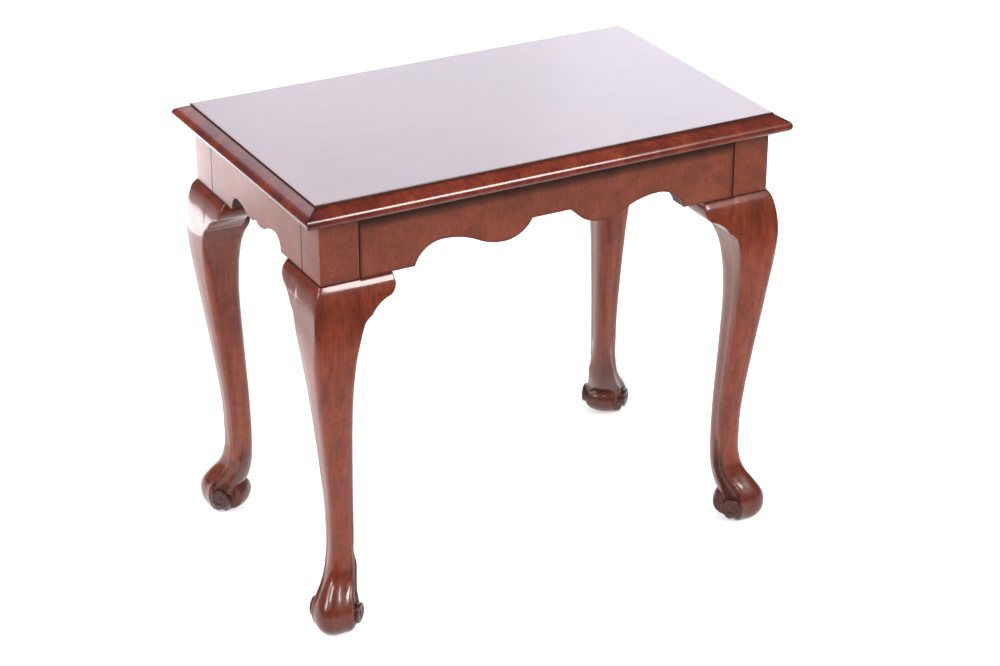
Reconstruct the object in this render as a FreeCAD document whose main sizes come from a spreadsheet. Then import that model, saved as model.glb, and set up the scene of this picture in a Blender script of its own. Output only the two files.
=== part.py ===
import FreeCAD, Part
import math
import os
import Sketcher
from FreeCAD import Placement, Rotation, Vector

# Small tea table: a raised veneered top with a rounded edge moulding, a shallow frieze with
# shaped aprons, and four cabriole legs with knee brackets and scroll feet.
# X runs along the length, Y from front (-Y) to back, Z up; the feet stand on Z = 0.

os.makedirs("parts", exist_ok=True)
doc = FreeCAD.newDocument("tea_table")

# ---------------------------------------------------------------- driving sizes
SIZES = [
    ("top_height", 496.0, "floor to the face of the top"),
    ("panel_over_end", 4.0, "raised panel of the top, past the frieze at each end"),
    ("panel_over_side", 0.5, "raised panel of the top, past the frieze at each side"),
    ("core_thick", 16.5, "groundwork board of the top"),
    ("veneer_thick", 1.5, "saw-cut veneer of the top and the frieze"),
    ("band_width", 28.0, "crossbanding of the top"),
    ("mould_reach", 15.5, "edge moulding, panel edge to nose"),
    ("mould_height", 14.8, "edge moulding at its inner edge"),
    ("mould_nose", 5.2, "height of the nose above the underside"),
    ("mould_heel", 2.9, "setback of the underside from the nose"),
    ("frieze_length", 532.0, "over the outer faces of the posts, along X"),
    ("frieze_width", 320.0, "over the outer faces of the posts, along Y"),
    ("frieze_height", 70.6, "underside of the top to the knees"),
    ("post_side", 43.0, "square head of a leg"),
    ("rail_thick", 20.0, "rails behind their veneer"),
    ("joint_line", 1.2, "open line between frieze veneer and post"),
    ("tenon_thick", 9.0, "tenons of the rails"),
    ("tenon_length", 24.0, "tenons of the rails"),
    ("tenon_height", 48.0, "tenons of the rails"),
    ("tenon_setback", 7.0, "face of the post to face of the tenon"),
    ("tenon_drop", 8.0, "top of the rail to top of the tenon"),
    ("mortise_gap", 0.3, "play of a tenon on each side and above and below"),
    ("mortise_end", 1.5, "play at the end of a tenon"),
    ("long_flat", 24.0, "long apron: half of the level middle"),
    ("long_flat_rise", 25.6, "long apron: rise of the middle"),
    ("long_lobe", 57.0, "long apron: middle to lowest point of the lobe"),
    ("long_lobe_rise", 6.1, "long apron: rise of the lobe"),
    ("long_arch", 128.0, "long apron: middle to crown of the outer arch"),
    ("long_arch_rise", 23.6, "long apron: rise of the outer arch"),
    ("long_cusp", 160.5, "long apron: middle to the outer cusp"),
    ("short_flat", 0.6, "short apron: half of the notch between the lobes"),
    ("short_flat_rise", 12.1, "short apron: rise of the notch"),
    ("short_lobe", 11.5, "short apron: middle to lowest point of the lobe"),
    ("short_lobe_rise", 7.8, "short apron: rise of the lobe"),
    ("short_arch", 48.0, "short apron: middle to crown of the outer arch"),
    ("short_arch_rise", 17.3, "short apron: rise of the outer arch"),
    ("short_cusp", 62.8, "short apron: middle to the outer cusp"),
    ("bracket_length", 37.5, "knee bracket, post to tip"),
    ("bracket_drop", 46.4, "knee bracket, frieze to its lowest point"),
    ("bracket_depth", 32.0, "knee bracket behind the frieze face"),
    ("bracket_bulge", 0.3, "knee bracket: bulge of the tip"),
    ("bracket_tip_drop", 13.4, "knee bracket: depth of the tip's bulge"),
    ("bracket_nib", 6.0, "knee bracket: tip to the start of its hollow"),
    ("bracket_nib_drop", 21.6, "knee bracket: depth where the hollow starts"),
    ("bracket_hollow", 20.0, "knee bracket: post to the middle of the hollow"),
    ("bracket_hollow_drop", 27.0, "knee bracket: depth of the hollow's middle"),
    ("bracket_step", 10.5, "knee bracket: post to the step under the hollow"),
    ("bracket_step_rise", 10.0, "knee bracket: lowest point up to the step"),
    ("bracket_step_run", 0.9, "knee bracket: width of the step"),
    ("bracket_step_height", 1.8, "knee bracket: height of the step"),
    ("bracket_toe", 4.0, "knee bracket: post to the middle of the last curve"),
    ("bracket_toe_rise", 4.0, "knee bracket: lowest point up to that middle"),
    ("bracket_joint", 0.3, "glue line between bracket and leg"),
    ("roll_back", 26.0, "foot roll axis, in from the frieze corner"),
    ("roll_height", 20.0, "foot roll axis above the floor"),
    ("roll_radius", 17.4, "middle of the heel roll"),
    ("roll_end_radius", 14.8, "heel roll at its ends"),
    ("roll_half", 15.0, "half length of the heel roll"),
    ("volute_back", 18.0, "volute axis, in from the frieze corner"),
    ("volute_height", 20.0, "volute axis above the floor"),
    ("volute_radius", 11.6, "volute over its rim"),
    ("volute_eye", 4.4, "eye of the volute, radius"),
    ("volute_half", 28.8, "half width of the foot over the volutes"),
    ("volute_dish", 2.2, "depth of the ring round the eye"),
    ("volute_edge", 2.5, "rounding of the volute's rim"),
    ("block_length", 52.0, "glue block under the top"),
    ("block_side", 18.0, "glue block, square section"),
    ("block_spacing", 240.0, "between the two blocks of a long rail"),
    ("screw_bore", 4.8, "clearance hole for a screw"),
    ("screw_shank", 4.2, "screw over its thread"),
    ("screw_length", 28.0, "screw below its head"),
    ("screw_head", 8.4, "round head of a screw"),
    ("screw_head_height", 3.4, "round head of a screw"),
    ("screw_slot", 1.1, "slot of a screw head"),
]

# Knee of a leg and face of its brackets: depth below the frieze, then how far the wood stands proud.
KNEE = [
    ("knee_a", 0.0, 0.3),
    ("knee_b", 0.8, 2.3),
    ("knee_c", 2.5, 3.8),
    ("knee_d", 5.5, 5.1),
    ("knee_e", 12.0, 7.2),
    ("knee_f", 22.0, 9.5),
    ("knee_g", 33.0, 11.1),
    ("knee_h", 44.0, 12.0),
]

# Shank stations. Height as a share of the way from foot to frieze, then on the leg's diagonal,
# measured out from the frieze corner: front, back; half width; roundings of the front and the
# back (share of a flank) and of the side arris (mm).
SHANK = [
    ("calf_a", 0.827, 15.3, -53.0, 36.4, 0.12, 0.35, 2.0),
    ("calf_b", 0.791, 14.2, -48.9, 34.0, 0.20, 0.55, 3.5),
    ("calf_c", 0.743, 12.2, -45.8, 30.8, 0.30, 0.70, 5.0),
    ("calf_d", 0.677, 8.6, -43.7, 27.5, 0.38, 0.80, 6.0),
    ("shin_a", 0.587, 3.9, -43.1, 24.0, 0.42, 0.88, 6.0),
    ("shin_b", 0.481, -2.0, -44.4, 21.1, 0.45, 0.90, 6.0),
    ("shin_c", 0.376, -7.6, -46.3, 19.0, 0.47, 0.90, 5.5),
    ("shin_d", 0.271, -12.8, -48.2, 17.2, 0.48, 0.90, 5.0),
    ("ankle_a", 0.165, -16.7, -49.8, 15.9, 0.50, 0.90, 4.5),
    ("ankle_b", 0.099, -17.4, -50.2, 15.6, 0.52, 0.90, 4.0),
]

# Foot stations: height, front, side arris (out, across), rear arris (out, across), back.
FOOT = [
    ("foot_a", 77.0, -15.8, -32.3, 15.9, -43.0, 12.6, -49.7),
    ("foot_b", 66.0, -12.3, -30.5, 16.7, -41.5, 15.8, -48.8),
    ("foot_c", 57.0, -6.9, -27.0, 17.6, -39.0, 16.6, -47.5),
    ("foot_d", 49.0, 0.2, -21.5, 18.9, -35.5, 17.6, -45.5),
    ("foot_e", 41.0, 7.0, -14.5, 20.6, -31.0, 18.8, -42.5),
    ("foot_f", 34.0, 12.0, -9.5, 22.0, -27.5, 20.0, -38.0),
    ("foot_g", 26.0, 14.6, -6.5, 23.4, -24.5, 20.5, -33.0),
    ("foot_h", 17.0, 14.6, -6.8, 23.9, -23.5, 20.8, -31.0),
    ("foot_i", 8.5, 11.8, -9.0, 22.6, -22.5, 19.5, -30.0),
    ("foot_j", 3.0, 7.0, -10.5, 19.6, -20.5, 17.0, -28.0),
    ("foot_k", 0.0, 2.0, -11.0, 15.5, -19.0, 14.0, -24.0),
]
KNEE_COLUMNS = ("drop", "proud")
SHANK_COLUMNS = ("share", "front", "back", "half", "nose", "heel", "arris")
FOOT_COLUMNS = ("up", "front", "arris", "across", "rear", "rearacross", "back")

sheet = doc.addObject("Spreadsheet::Sheet", "sizes")
rows = list(SIZES)
for table, columns in ((KNEE, KNEE_COLUMNS), (SHANK, SHANK_COLUMNS), (FOOT, FOOT_COLUMNS)):
    for station in table:
        for column, value in zip(columns, station[1:]):
            rows.append((station[0] + "_" + column, value, "leg station"))
for number, (alias, value, meaning) in enumerate(rows, start=1):
    sheet.set("A%d" % number, alias)
    sheet.set("B%d" % number, str(value))
    sheet.set("C%d" % number, meaning)
    sheet.setAlias("B%d" % number, alias)
doc.recompute()


def size(alias):
    return float(sheet.get(alias))


def stations(table, columns):
    return [[size(station[0] + "_" + column) for column in columns] for station in table]


def bind(thing, **formulas):
    """Bind properties to formulas on the sheet; Placement__Base__x stands for Placement.Base.x."""
    for name, formula in formulas.items():
        thing.setExpression(name.replace("__", "."), formula)


# ---------------------------------------------------------------- places worked out from the sizes
top_under = size("top_height") - size("veneer_thick") - size("core_thick")
leg_height = top_under - size("frieze_height")
post = size("post_side")
corner_x = size("frieze_length") / 2
corner_y = size("frieze_width") / 2
DIAGONAL = math.sqrt(2)

TOP_UNDER = "(sizes.top_height - sizes.veneer_thick - sizes.core_thick)"
LEG_HEIGHT = "(sizes.top_height - sizes.veneer_thick - sizes.core_thick - sizes.frieze_height)"
LONG_RUN = "(sizes.frieze_length - 2 * sizes.post_side)"
SHORT_RUN = "(sizes.frieze_width - 2 * sizes.post_side)"
X_PLANE, Y_PLANE, FLOOR_PLANE = "YZ_Plane", "XZ_Plane", "XY_Plane"
ACROSS_X, ACROSS_Y, UP = Vector(1, 0, 0), Vector(0, 1, 0), Vector(0, 0, 1)


# ---------------------------------------------------------------- helpers
def new_body(name):
    body = doc.addObject("PartDesign::Body", name)
    body.Label = name
    return body


def new_sketch(body, name, plane, offset=None):
    sketch = body.newObject("Sketcher::SketchObject", name)
    origin = [f for f in body.Origin.OriginFeatures if f.Role == plane][0]
    sketch.AttachmentSupport = [(origin, "")]
    sketch.MapMode = "FlatFace"
    if offset:
        sketch.setExpression("AttachmentOffset.Base.z", offset)
    return sketch


def new_pad(body, name, sketch, length, backwards=False):
    pad = body.newObject("PartDesign::Pad", name)
    pad.Profile = sketch
    pad.setExpression("Length", length)
    pad.Reversed = backwards
    sketch.Visibility = False
    return pad


def new_pocket(body, name, sketch, length, backwards=False):
    pocket = body.newObject("PartDesign::Pocket", name)
    pocket.Profile = sketch
    pocket.setExpression("Length", length)
    pocket.Reversed = backwards
    sketch.Visibility = False
    return pocket


def bound_box(name, length, width, height, **place):
    """A plain board, tenon or hole: a box whose sizes and place are bound to the sheet."""
    box = doc.addObject("Part::Box", name)
    bind(box, Length=length, Width=width, Height=height)
    bind(box, **{"Placement__Base__" + axis: formula for axis, formula in place.items()})
    return box


def joined(name, shapes):
    fuse = doc.addObject("Part::MultiFuse", name)
    fuse.Shapes = shapes
    return fuse


def cut(name, base, tool):
    result = doc.addObject("Part::Cut", name)
    result.Base = base
    result.Tool = tool
    result.Label = name
    return result


def mirrored(name, source, normal, base=Vector(0, 0, 0)):
    twin = doc.addObject("Part::Mirroring", name)
    twin.Source = source
    twin.Normal = normal
    twin.Base = base
    twin.Label = name
    return twin


def straight(x, y):
    """Step of an outline: straight to a point."""
    return ("straight", (x, y), None)


def through(middle_x, middle_y, x, y):
    """Step of an outline: arc through one point to another."""
    return ("through", (x, y), (middle_x, middle_y))


def level_first(x, y):
    """Step of an outline: arc that sets out level."""
    return ("level_first", (x, y), None)


def level_last(x, y):
    """Step of an outline: arc that arrives level."""
    return ("level_last", (x, y), None)


def plumb_first(x, y):
    """Step of an outline: arc that sets out plumb."""
    return ("plumb_first", (x, y), None)


def smooth(points, x, y):
    """Step of an outline: smooth curve through given points to a last one."""
    return ("smooth", (x, y), points)


def value(sketch, formula):
    return float(sketch.evalExpression(formula))


def spot(sketch, pair):
    return Vector(value(sketch, pair[0]), value(sketch, pair[1]), 0)


def level_arc(level, far):
    """Arc that is level at one end, from that end to the other."""
    run = abs(far.x - level.x)
    rise = abs(far.y - level.y)
    radius = (run * run + rise * rise) / (2 * rise)
    half_turn = math.atan2(run, radius - rise) / 2
    x = level.x + math.copysign(radius * math.sin(half_turn), far.x - level.x)
    y = level.y + math.copysign(radius * (1 - math.cos(half_turn)), far.y - level.y)
    return Part.Arc(level, Vector(x, y, 0), far)


def plumb_arc(plumb, far):
    """Arc that is plumb at one end, from that end to the other."""
    flat = level_arc(Vector(plumb.y, plumb.x, 0), Vector(far.y, far.x, 0))
    middle = flat.value((flat.FirstParameter + flat.LastParameter) / 2)
    return Part.Arc(plumb, Vector(middle.y, middle.x, 0), far)


def hold(sketch, geometry, end, pair):
    """Hold one point of a sketch at the place that two formulas give."""
    for kind, formula in zip(("DistanceX", "DistanceY"), pair):
        constraint = Sketcher.Constraint(kind, geometry, end, value(sketch, formula))
        number = sketch.addConstraint(constraint)
        sketch.setExpression("Constraints[%d]" % number, formula)


def draw(sketch, start, *steps):
    """Draw a closed outline whose last side runs straight back to the start.

    Every corner is held by formulas on the sheet, and each arc by its middle or its level end.
    """
    steps = list(steps) + [straight(*start)]
    here = start
    ends = []
    for kind, there, middle in steps:
        a, b = spot(sketch, here), spot(sketch, there)
        if kind == "straight":
            edge = Part.LineSegment(a, b)
        elif kind == "through":
            edge = Part.Arc(a, spot(sketch, middle), b)
        elif kind == "level_first":
            edge = level_arc(a, b)
        elif kind == "level_last":
            edge = level_arc(b, a)
        elif kind == "plumb_first":
            edge = plumb_arc(a, b)
        else:
            edge = Part.BSplineCurve()
            edge.interpolate([a] + [spot(sketch, pair) for pair in middle] + [b])
        number = sketch.addGeometry(edge, False)
        first = 1 if sketch.getPoint(number, 1).distanceToPoint(a) < 1e-6 else 2
        ends.append((number, first, 3 - first))
        if kind == "through":
            dot = sketch.addGeometry(Part.Point(spot(sketch, middle)), True)
            hold(sketch, dot, 1, middle)
            sketch.addConstraint(Sketcher.Constraint("PointOnObject", dot, 1, number))
        if kind == "plumb_first":
            sketch.addConstraint(Sketcher.Constraint("Horizontal", number, 3, number, first))
        if kind.startswith("level"):
            level_end = first if kind == "level_first" else 3 - first
            sketch.addConstraint(Sketcher.Constraint("Vertical", number, 3, number, level_end))
        here = there
    for index, (number, first, last) in enumerate(ends):
        before, unused, tail = ends[index - 1]
        sketch.addConstraint(Sketcher.Constraint("Coincident", before, tail, number, first))
        hold(sketch, number, first, start if index == 0 else steps[index - 1][1])


# ---------------------------------------------------------------- legs
def towards(a, b, distance):
    share = distance / math.hypot(b[0] - a[0], b[1] - a[1])
    return (a[0] + (b[0] - a[0]) * share, a[1] + (b[1] - a[1]) * share)


def bowed(a, b, swell):
    """Middle pole of a side that swells outwards by the given amount, or is hollowed if negative."""
    run = Vector(b[0] - a[0], b[1] - a[1], 0)
    out = Vector(run.y, -run.x, 0).normalize() * (2 * swell)
    return ((a[0] + b[0]) / 2 + out.x, (a[1] + b[1]) / 2 + out.y)


def section(height, front, side, rear, back, nose, heel, arris, swell, hollow):
    """One section across a leg, as a wire of twelve plain curves.

    Its corners lie at the front, at both sides, at both rear arrises and at the back. Each corner
    is rounded over a given distance along the two sides that meet there.
    """
    nose_cut = nose * math.hypot(front[0] - side[0], side[1])
    heel_cut = heel * math.hypot(rear[0] - back[0], rear[1])
    front_at = towards(front, side, nose_cut)
    side_from, side_to = towards(side, front, arris), towards(side, rear, arris)
    rear_from, rear_to = towards(rear, side, arris), towards(rear, back, arris / 2)
    back_at = towards(back, rear, heel_cut)
    half = [
        (front_at, bowed(front_at, side_from, swell), side_from),
        (side_from, side, side_to),
        (side_to, bowed(side_to, rear_from, hollow), rear_from),
        (rear_from, rear, rear_to),
        (rear_to, bowed(rear_to, back_at, 0), back_at),
    ]
    twin = [tuple((s, -t) for s, t in reversed(poles)) for poles in reversed(half)]
    nose_round = (twin[-1][-1], front, front_at)
    heel_round = (back_at, back, twin[0][0])
    edges = []
    for poles in [nose_round] + half + [heel_round] + twin:
        bezier = Part.BezierCurve()
        bezier.setPoles([Vector(s, t, height) for s, t in poles])
        edges.append(bezier.toShape())
    return Part.Wire(edges)


def knee_section(drop, proud):
    """Square with its inner corner on the post and its outer faces proud of the frieze."""
    front = (proud * DIAGONAL, 0)
    side = ((proud - post) / DIAGONAL, (proud + post) / DIAGONAL)
    back = (-post * DIAGONAL, 0)
    rear = ((side[0] + back[0]) / 2, side[1] / 2)
    return section(leg_height - drop, front, side, rear, back, 0.08, 0.1, 0.4, 0.0, 0.0)


def shank_section(share, front, back, half, nose, heel, arris):
    """Rounded square of the calf and shin, given by its outer reach on the diagonal and across."""
    foot_top = size("foot_a_up")
    height = foot_top + share * (leg_height - foot_top)
    middle = (front + back) / 2
    side = (middle, half + arris / (2 * DIAGONAL))
    tip = ((front - nose / 2 * middle) / (1 - nose / 2), 0)
    rear_corner = heel / 2
    heel_tip = (back - rear_corner / 2 * middle) / (1 - rear_corner / 2)
    heel_corner = (heel_tip, 0)
    rear = ((side[0] + heel_tip) / 2 - 0.2, side[1] / 2 + 0.2)
    return section(height, tip, side, rear, heel_corner, nose, heel, arris, 0.6, 0.3)


def foot_section(up, front, arris, across, rear, rear_across, back):
    """Foot: broad rounded front between two arrises, hollow sides, rounded back."""
    nose, heel = 0.85, 0.9
    tip = ((front - nose / 2 * arris) / (1 - nose / 2), 0)
    heel_tip = ((back - heel / 2 * rear) / (1 - heel / 2), 0)
    return section(up, tip, (arris, across), (rear, rear_across), heel_tip, nose, heel, 1.6, 1.0, -1.8)


def turned(name, edges):
    """Solid turned about the axis across the foot from edges drawn as (across, radius)."""
    face = Part.Face(Part.Wire(edges))
    solid = face.revolve(Vector(0, 0, 0), ACROSS_Y, 360)
    turned_part = doc.addObject("Part::Feature", name)
    turned_part.Shape = solid
    return turned_part


def rim_line(a, b):
    return Part.LineSegment(Vector(0, *a), Vector(0, *b)).toShape()


def rim_arc(a, middle, b):
    return Part.Arc(Vector(0, *a), Vector(0, *middle), Vector(0, *b)).toShape()


def heel_roll():
    """Barrel between the two volutes of a foot."""
    half, big, small = size("roll_half"), size("roll_radius"), size("roll_end_radius")
    edges = [
        rim_line((-half, 0), (-half, small)),
        rim_arc((-half, small), (0, big), (half, small)),
        rim_line((half, small), (half, 0)),
        rim_line((half, 0), (-half, 0)),
    ]
    return turned("heel_roll", edges)


def volute(name, side):
    """Scroll end: a disc with a rounded rim, a sunk ring and a raised eye."""
    root = size("roll_half") / 2
    face, radius, edge = size("volute_half"), size("volute_radius"), size("volute_edge")
    eye, dish = size("volute_eye"), size("volute_dish")
    neck = radius - edge
    groove = size("roll_half") + edge / 2
    lift = edge * (1 - math.cos(math.pi / 4))
    points = {
        "axis": (root, 0),
        "root": (root, neck),
        "groove": (groove, neck),
        "rise": (groove + edge, radius),
        "rim": (face - dish / 2 - edge, radius),
        "turn": (face - dish / 2 - lift, radius - lift),
        "brow": (face - dish / 2, neck),
        "ring": (face - dish, eye + dish),
        "foot": (face - dish, eye + dish / 2),
        "ball": (face - dish / 2, eye),
        "top": (face, 0),
    }
    at = {word: (side * across, height) for word, (across, height) in points.items()}
    dome = level_arc(Vector(0, face, 0), Vector(eye, face - dish / 2, 0))
    crown = dome.value((dome.FirstParameter + dome.LastParameter) / 2)
    edges = [
        rim_line(at["axis"], at["root"]),
        rim_line(at["root"], at["groove"]),
        rim_line(at["groove"], at["rise"]),
        rim_line(at["rise"], at["rim"]),
        rim_arc(at["rim"], at["turn"], at["brow"]),
        rim_line(at["brow"], at["ring"]),
        rim_line(at["ring"], at["foot"]),
        rim_line(at["foot"], at["ball"]),
        rim_arc(at["ball"], (side * crown.y, crown.x), at["top"]),
        rim_line(at["top"], at["axis"]),
    ]
    return turned(name, edges)


def stand_in_corner(thing, back, height):
    """Turn a leg part onto the diagonal of the front left corner, set back from that corner."""
    step = back / DIAGONAL
    thing.Placement = Placement(Vector(step - corner_x, step - corner_y, height), Rotation(UP, 225))


sections = [foot_section(*row) for row in reversed(stations(FOOT, FOOT_COLUMNS))]
sections += [shank_section(*row) for row in reversed(stations(SHANK, SHANK_COLUMNS))]
sections += [knee_section(*row) for row in reversed(stations(KNEE, KNEE_COLUMNS))]
shank = doc.addObject("Part::Feature", "leg_shank")
shank.Shape = Part.makeLoft(sections, True, False)
stand_in_corner(shank, 0, 0)
roll = heel_roll()
stand_in_corner(roll, size("roll_back"), size("roll_height"))
volutes = [volute("volute_a", 1), volute("volute_b", -1)]
for scroll in volutes:
    stand_in_corner(scroll, size("volute_back"), size("volute_height"))

LEFT, FRONT = "-sizes.frieze_length / 2", "-sizes.frieze_width / 2"
SIDE, HEIGHT = "sizes.post_side", "sizes.frieze_height"
post_block = bound_box("post", SIDE, SIDE, HEIGHT, x=LEFT, y=FRONT, z=LEG_HEIGHT)
MORTISE_DEEP = "sizes.tenon_length + sizes.mortise_end"
MORTISE_WIDE = "sizes.tenon_thick + 2 * sizes.mortise_gap"
MORTISE_HIGH = "sizes.tenon_height + 2 * sizes.mortise_gap"
MORTISE_SIDE = " + sizes.tenon_setback - sizes.mortise_gap"
MORTISE_BACK = " + sizes.post_side - sizes.tenon_length - sizes.mortise_end"
MORTISE_FOOT = TOP_UNDER + " - sizes.tenon_drop - sizes.tenon_height - sizes.mortise_gap"
mortises = [
    bound_box("mortise_front", MORTISE_DEEP, MORTISE_WIDE, MORTISE_HIGH,
              x=LEFT + MORTISE_BACK, y=FRONT + MORTISE_SIDE, z=MORTISE_FOOT),
    bound_box("mortise_side", MORTISE_WIDE, MORTISE_DEEP, MORTISE_HIGH,
              x=LEFT + MORTISE_SIDE, y=FRONT + MORTISE_BACK, z=MORTISE_FOOT),
]
leg_wood = joined("leg_wood", [shank, post_block, roll] + volutes)
leg_front_left = cut("leg_front_left", leg_wood, joined("mortises", mortises))
leg_front_right = mirrored("leg_front_right", leg_front_left, ACROSS_X)
leg_back_left = mirrored("leg_back_left", leg_front_left, ACROSS_Y)
leg_back_right = mirrored("leg_back_right", leg_front_right, ACROSS_Y)


# ---------------------------------------------------------------- knee brackets
KNEE_PROUD = "sizes.knee_h_proud"
KNEE_DROP = "sizes.knee_h_drop"


def knee_bracket(name):
    """Bracket under the front rail, beside the front left leg, with the knee's curve on its face."""
    body = new_body(name)
    bind(body, Placement__Base__x=LEFT + " + sizes.post_side + sizes.bracket_joint",
         Placement__Base__y=FRONT, Placement__Base__z=LEG_HEIGHT)
    outline = new_sketch(body, name + "_outline", Y_PLANE, KNEE_PROUD)
    length, drop = "sizes.bracket_length", "-sizes.bracket_drop"
    step_x, step_y = "sizes.bracket_step", drop + " + sizes.bracket_step_rise"
    draw(outline, ("0", "0"),
         straight(length, "0"),
         through(length + " + sizes.bracket_bulge", "-sizes.bracket_tip_drop",
                 length + " - sizes.bracket_nib", "-sizes.bracket_nib_drop"),
         through("sizes.bracket_hollow", "-sizes.bracket_hollow_drop", step_x, step_y),
         straight(step_x + " - sizes.bracket_step_run", step_y + " - sizes.bracket_step_height"),
         through("sizes.bracket_toe", drop + " + sizes.bracket_toe_rise", "0", drop))
    new_pad(body, name + "_wood", outline, KNEE_PROUD + " + sizes.bracket_depth", backwards=True)
    profile = new_sketch(body, name + "_profile", X_PLANE)
    waypoints = [("-sizes.%s_proud" % row[0], "-sizes.%s_drop" % row[0]) for row in KNEE]
    draw(profile, waypoints[0],
         smooth(waypoints[1:-1], *waypoints[-1]),
         straight("-2 * " + KNEE_PROUD, "-" + KNEE_DROP),
         straight("-2 * " + KNEE_PROUD, "0"))
    new_pocket(body, name + "_face", profile, "2 * sizes.bracket_length", backwards=True)
    return body


knee_bracket_front_left = knee_bracket("knee_bracket_front_left")
knee_bracket_front_right = mirrored("knee_bracket_front_right", knee_bracket_front_left, ACROSS_X)
knee_bracket_back_left = mirrored("knee_bracket_back_left", knee_bracket_front_left, ACROSS_Y)
knee_bracket_back_right = mirrored("knee_bracket_back_right", knee_bracket_front_right, ACROSS_Y)
side_bracket_left_front = mirrored("side_bracket_left_front", knee_bracket_front_left,
                                   Vector(1, -1, 0), Vector(-corner_x, -corner_y, 0))
side_bracket_right_front = mirrored("side_bracket_right_front", side_bracket_left_front, ACROSS_X)
side_bracket_left_back = mirrored("side_bracket_left_back", side_bracket_left_front, ACROSS_Y)
side_bracket_right_back = mirrored("side_bracket_right_back", side_bracket_right_front, ACROSS_Y)


# ---------------------------------------------------------------- rails and frieze veneers
INFLECTION = 0.43


def apron(sketch, word, half_run):
    """Outline of a rail or its veneer: shaped lower edge, level top."""
    def at(place, side):
        return side + "sizes.%s_%s" % (word, place), "sizes.%s_%s_rise" % (word, place)

    def between(side):
        lobe, arch = at("lobe", side), at("arch", side)
        return tuple("%s * %s + %s * %s" % (1 - INFLECTION, a, INFLECTION, b) for a, b in zip(lobe, arch))

    cusp = "sizes.%s_cusp" % word
    draw(sketch, ("-" + half_run, "0"),
         straight("-" + cusp, "0"),
         level_last(*at("arch", "-")),
         level_first(*between("-")),
         level_last(*at("lobe", "-")),
         level_first(*at("flat", "-")),
         straight(*at("flat", "")),
         level_last(*at("lobe", "")),
         level_first(*between("")),
         level_last(*at("arch", "")),
         level_first(cusp, "0"),
         straight(half_run, "0"),
         straight(half_run, HEIGHT),
         straight("-" + half_run, HEIGHT))


def rail(name, word, plane, run, inwards, x, y):
    """Rail with its shaped lower edge and a tenon at each end."""
    body = new_body(name)
    bind(body, Placement__Base__x=x, Placement__Base__y=y, Placement__Base__z=LEG_HEIGHT)
    outline = new_sketch(body, name + "_outline", plane)
    apron(outline, word, run + " / 2")
    new_pad(body, name + "_board", outline, "sizes.rail_thick", backwards=inwards)
    offset = "sizes.tenon_setback - sizes.veneer_thick"
    tenons = new_sketch(body, name + "_tenons", plane, "-(%s)" % offset if inwards else offset)
    low = "sizes.frieze_height - sizes.tenon_drop - sizes.tenon_height"
    high = "sizes.frieze_height - sizes.tenon_drop"
    for sign in ("", "-"):
        root = sign + "(%s / 2 - sizes.tenon_length)" % run
        tip = sign + "(%s / 2 + sizes.tenon_length)" % run
        draw(tenons, (root, low), straight(tip, low), straight(tip, high), straight(root, high))
    new_pad(body, name + "_tongues", tenons, "sizes.tenon_thick", backwards=inwards)
    return body


def frieze_veneer(name, word, plane, run, inwards, x, y):
    """Face veneer of a rail, stopped short of the posts by an open joint."""
    body = new_body(name)
    bind(body, Placement__Base__x=x, Placement__Base__y=y, Placement__Base__z=LEG_HEIGHT)
    outline = new_sketch(body, name + "_outline", plane)
    apron(outline, word, "(%s / 2 - sizes.joint_line)" % run)
    new_pad(body, name + "_sheet", outline, "sizes.veneer_thick", backwards=inwards)
    return body


BEHIND = " + sizes.veneer_thick"
front_rail = rail("front_rail", "long", Y_PLANE, LONG_RUN, True, "0", FRONT + BEHIND)
left_rail = rail("left_rail", "short", X_PLANE, SHORT_RUN, False, LEFT + BEHIND, "0")
back_rail = mirrored("back_rail", front_rail, ACROSS_Y)
right_rail = mirrored("right_rail", left_rail, ACROSS_X)
veneer_front = frieze_veneer("frieze_veneer_front", "long", Y_PLANE, LONG_RUN, True, "0", FRONT)
veneer_left = frieze_veneer("frieze_veneer_left", "short", X_PLANE, SHORT_RUN, False, LEFT, "0")
veneer_back = mirrored("frieze_veneer_back", veneer_front, ACROSS_Y)
veneer_right = mirrored("frieze_veneer_right", veneer_left, ACROSS_X)


# ---------------------------------------------------------------- top
PANEL_X = "(sizes.frieze_length / 2 + sizes.panel_over_end)"
PANEL_Y = "(sizes.frieze_width / 2 + sizes.panel_over_side)"
BLOCK_Z = TOP_UNDER + " - sizes.block_side"
BLOCK_INSET = "(sizes.veneer_thick + sizes.rail_thick + sizes.block_side / 2)"
LONG_BLOCK_Y = "(sizes.frieze_width / 2 - %s)" % BLOCK_INSET
SHORT_BLOCK_X = "(sizes.frieze_length / 2 - %s)" % BLOCK_INSET
LONG_BLOCK_X = "sizes.block_spacing / 2"
BLOCKS = [
    ("front_left", "-" + LONG_BLOCK_X, "-" + LONG_BLOCK_Y, True),
    ("front_right", LONG_BLOCK_X, "-" + LONG_BLOCK_Y, True),
    ("back_left", "-" + LONG_BLOCK_X, LONG_BLOCK_Y, True),
    ("back_right", LONG_BLOCK_X, LONG_BLOCK_Y, True),
    ("left", "-" + SHORT_BLOCK_X, "0", False),
    ("right", SHORT_BLOCK_X, "0", False),
]


def bore(name, x, y, low, depth):
    hole = doc.addObject("Part::Cylinder", name)
    bind(hole, Radius="sizes.screw_bore / 2", Height=depth, Placement__Base__x=x,
         Placement__Base__y=y, Placement__Base__z=low)
    return hole


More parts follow.
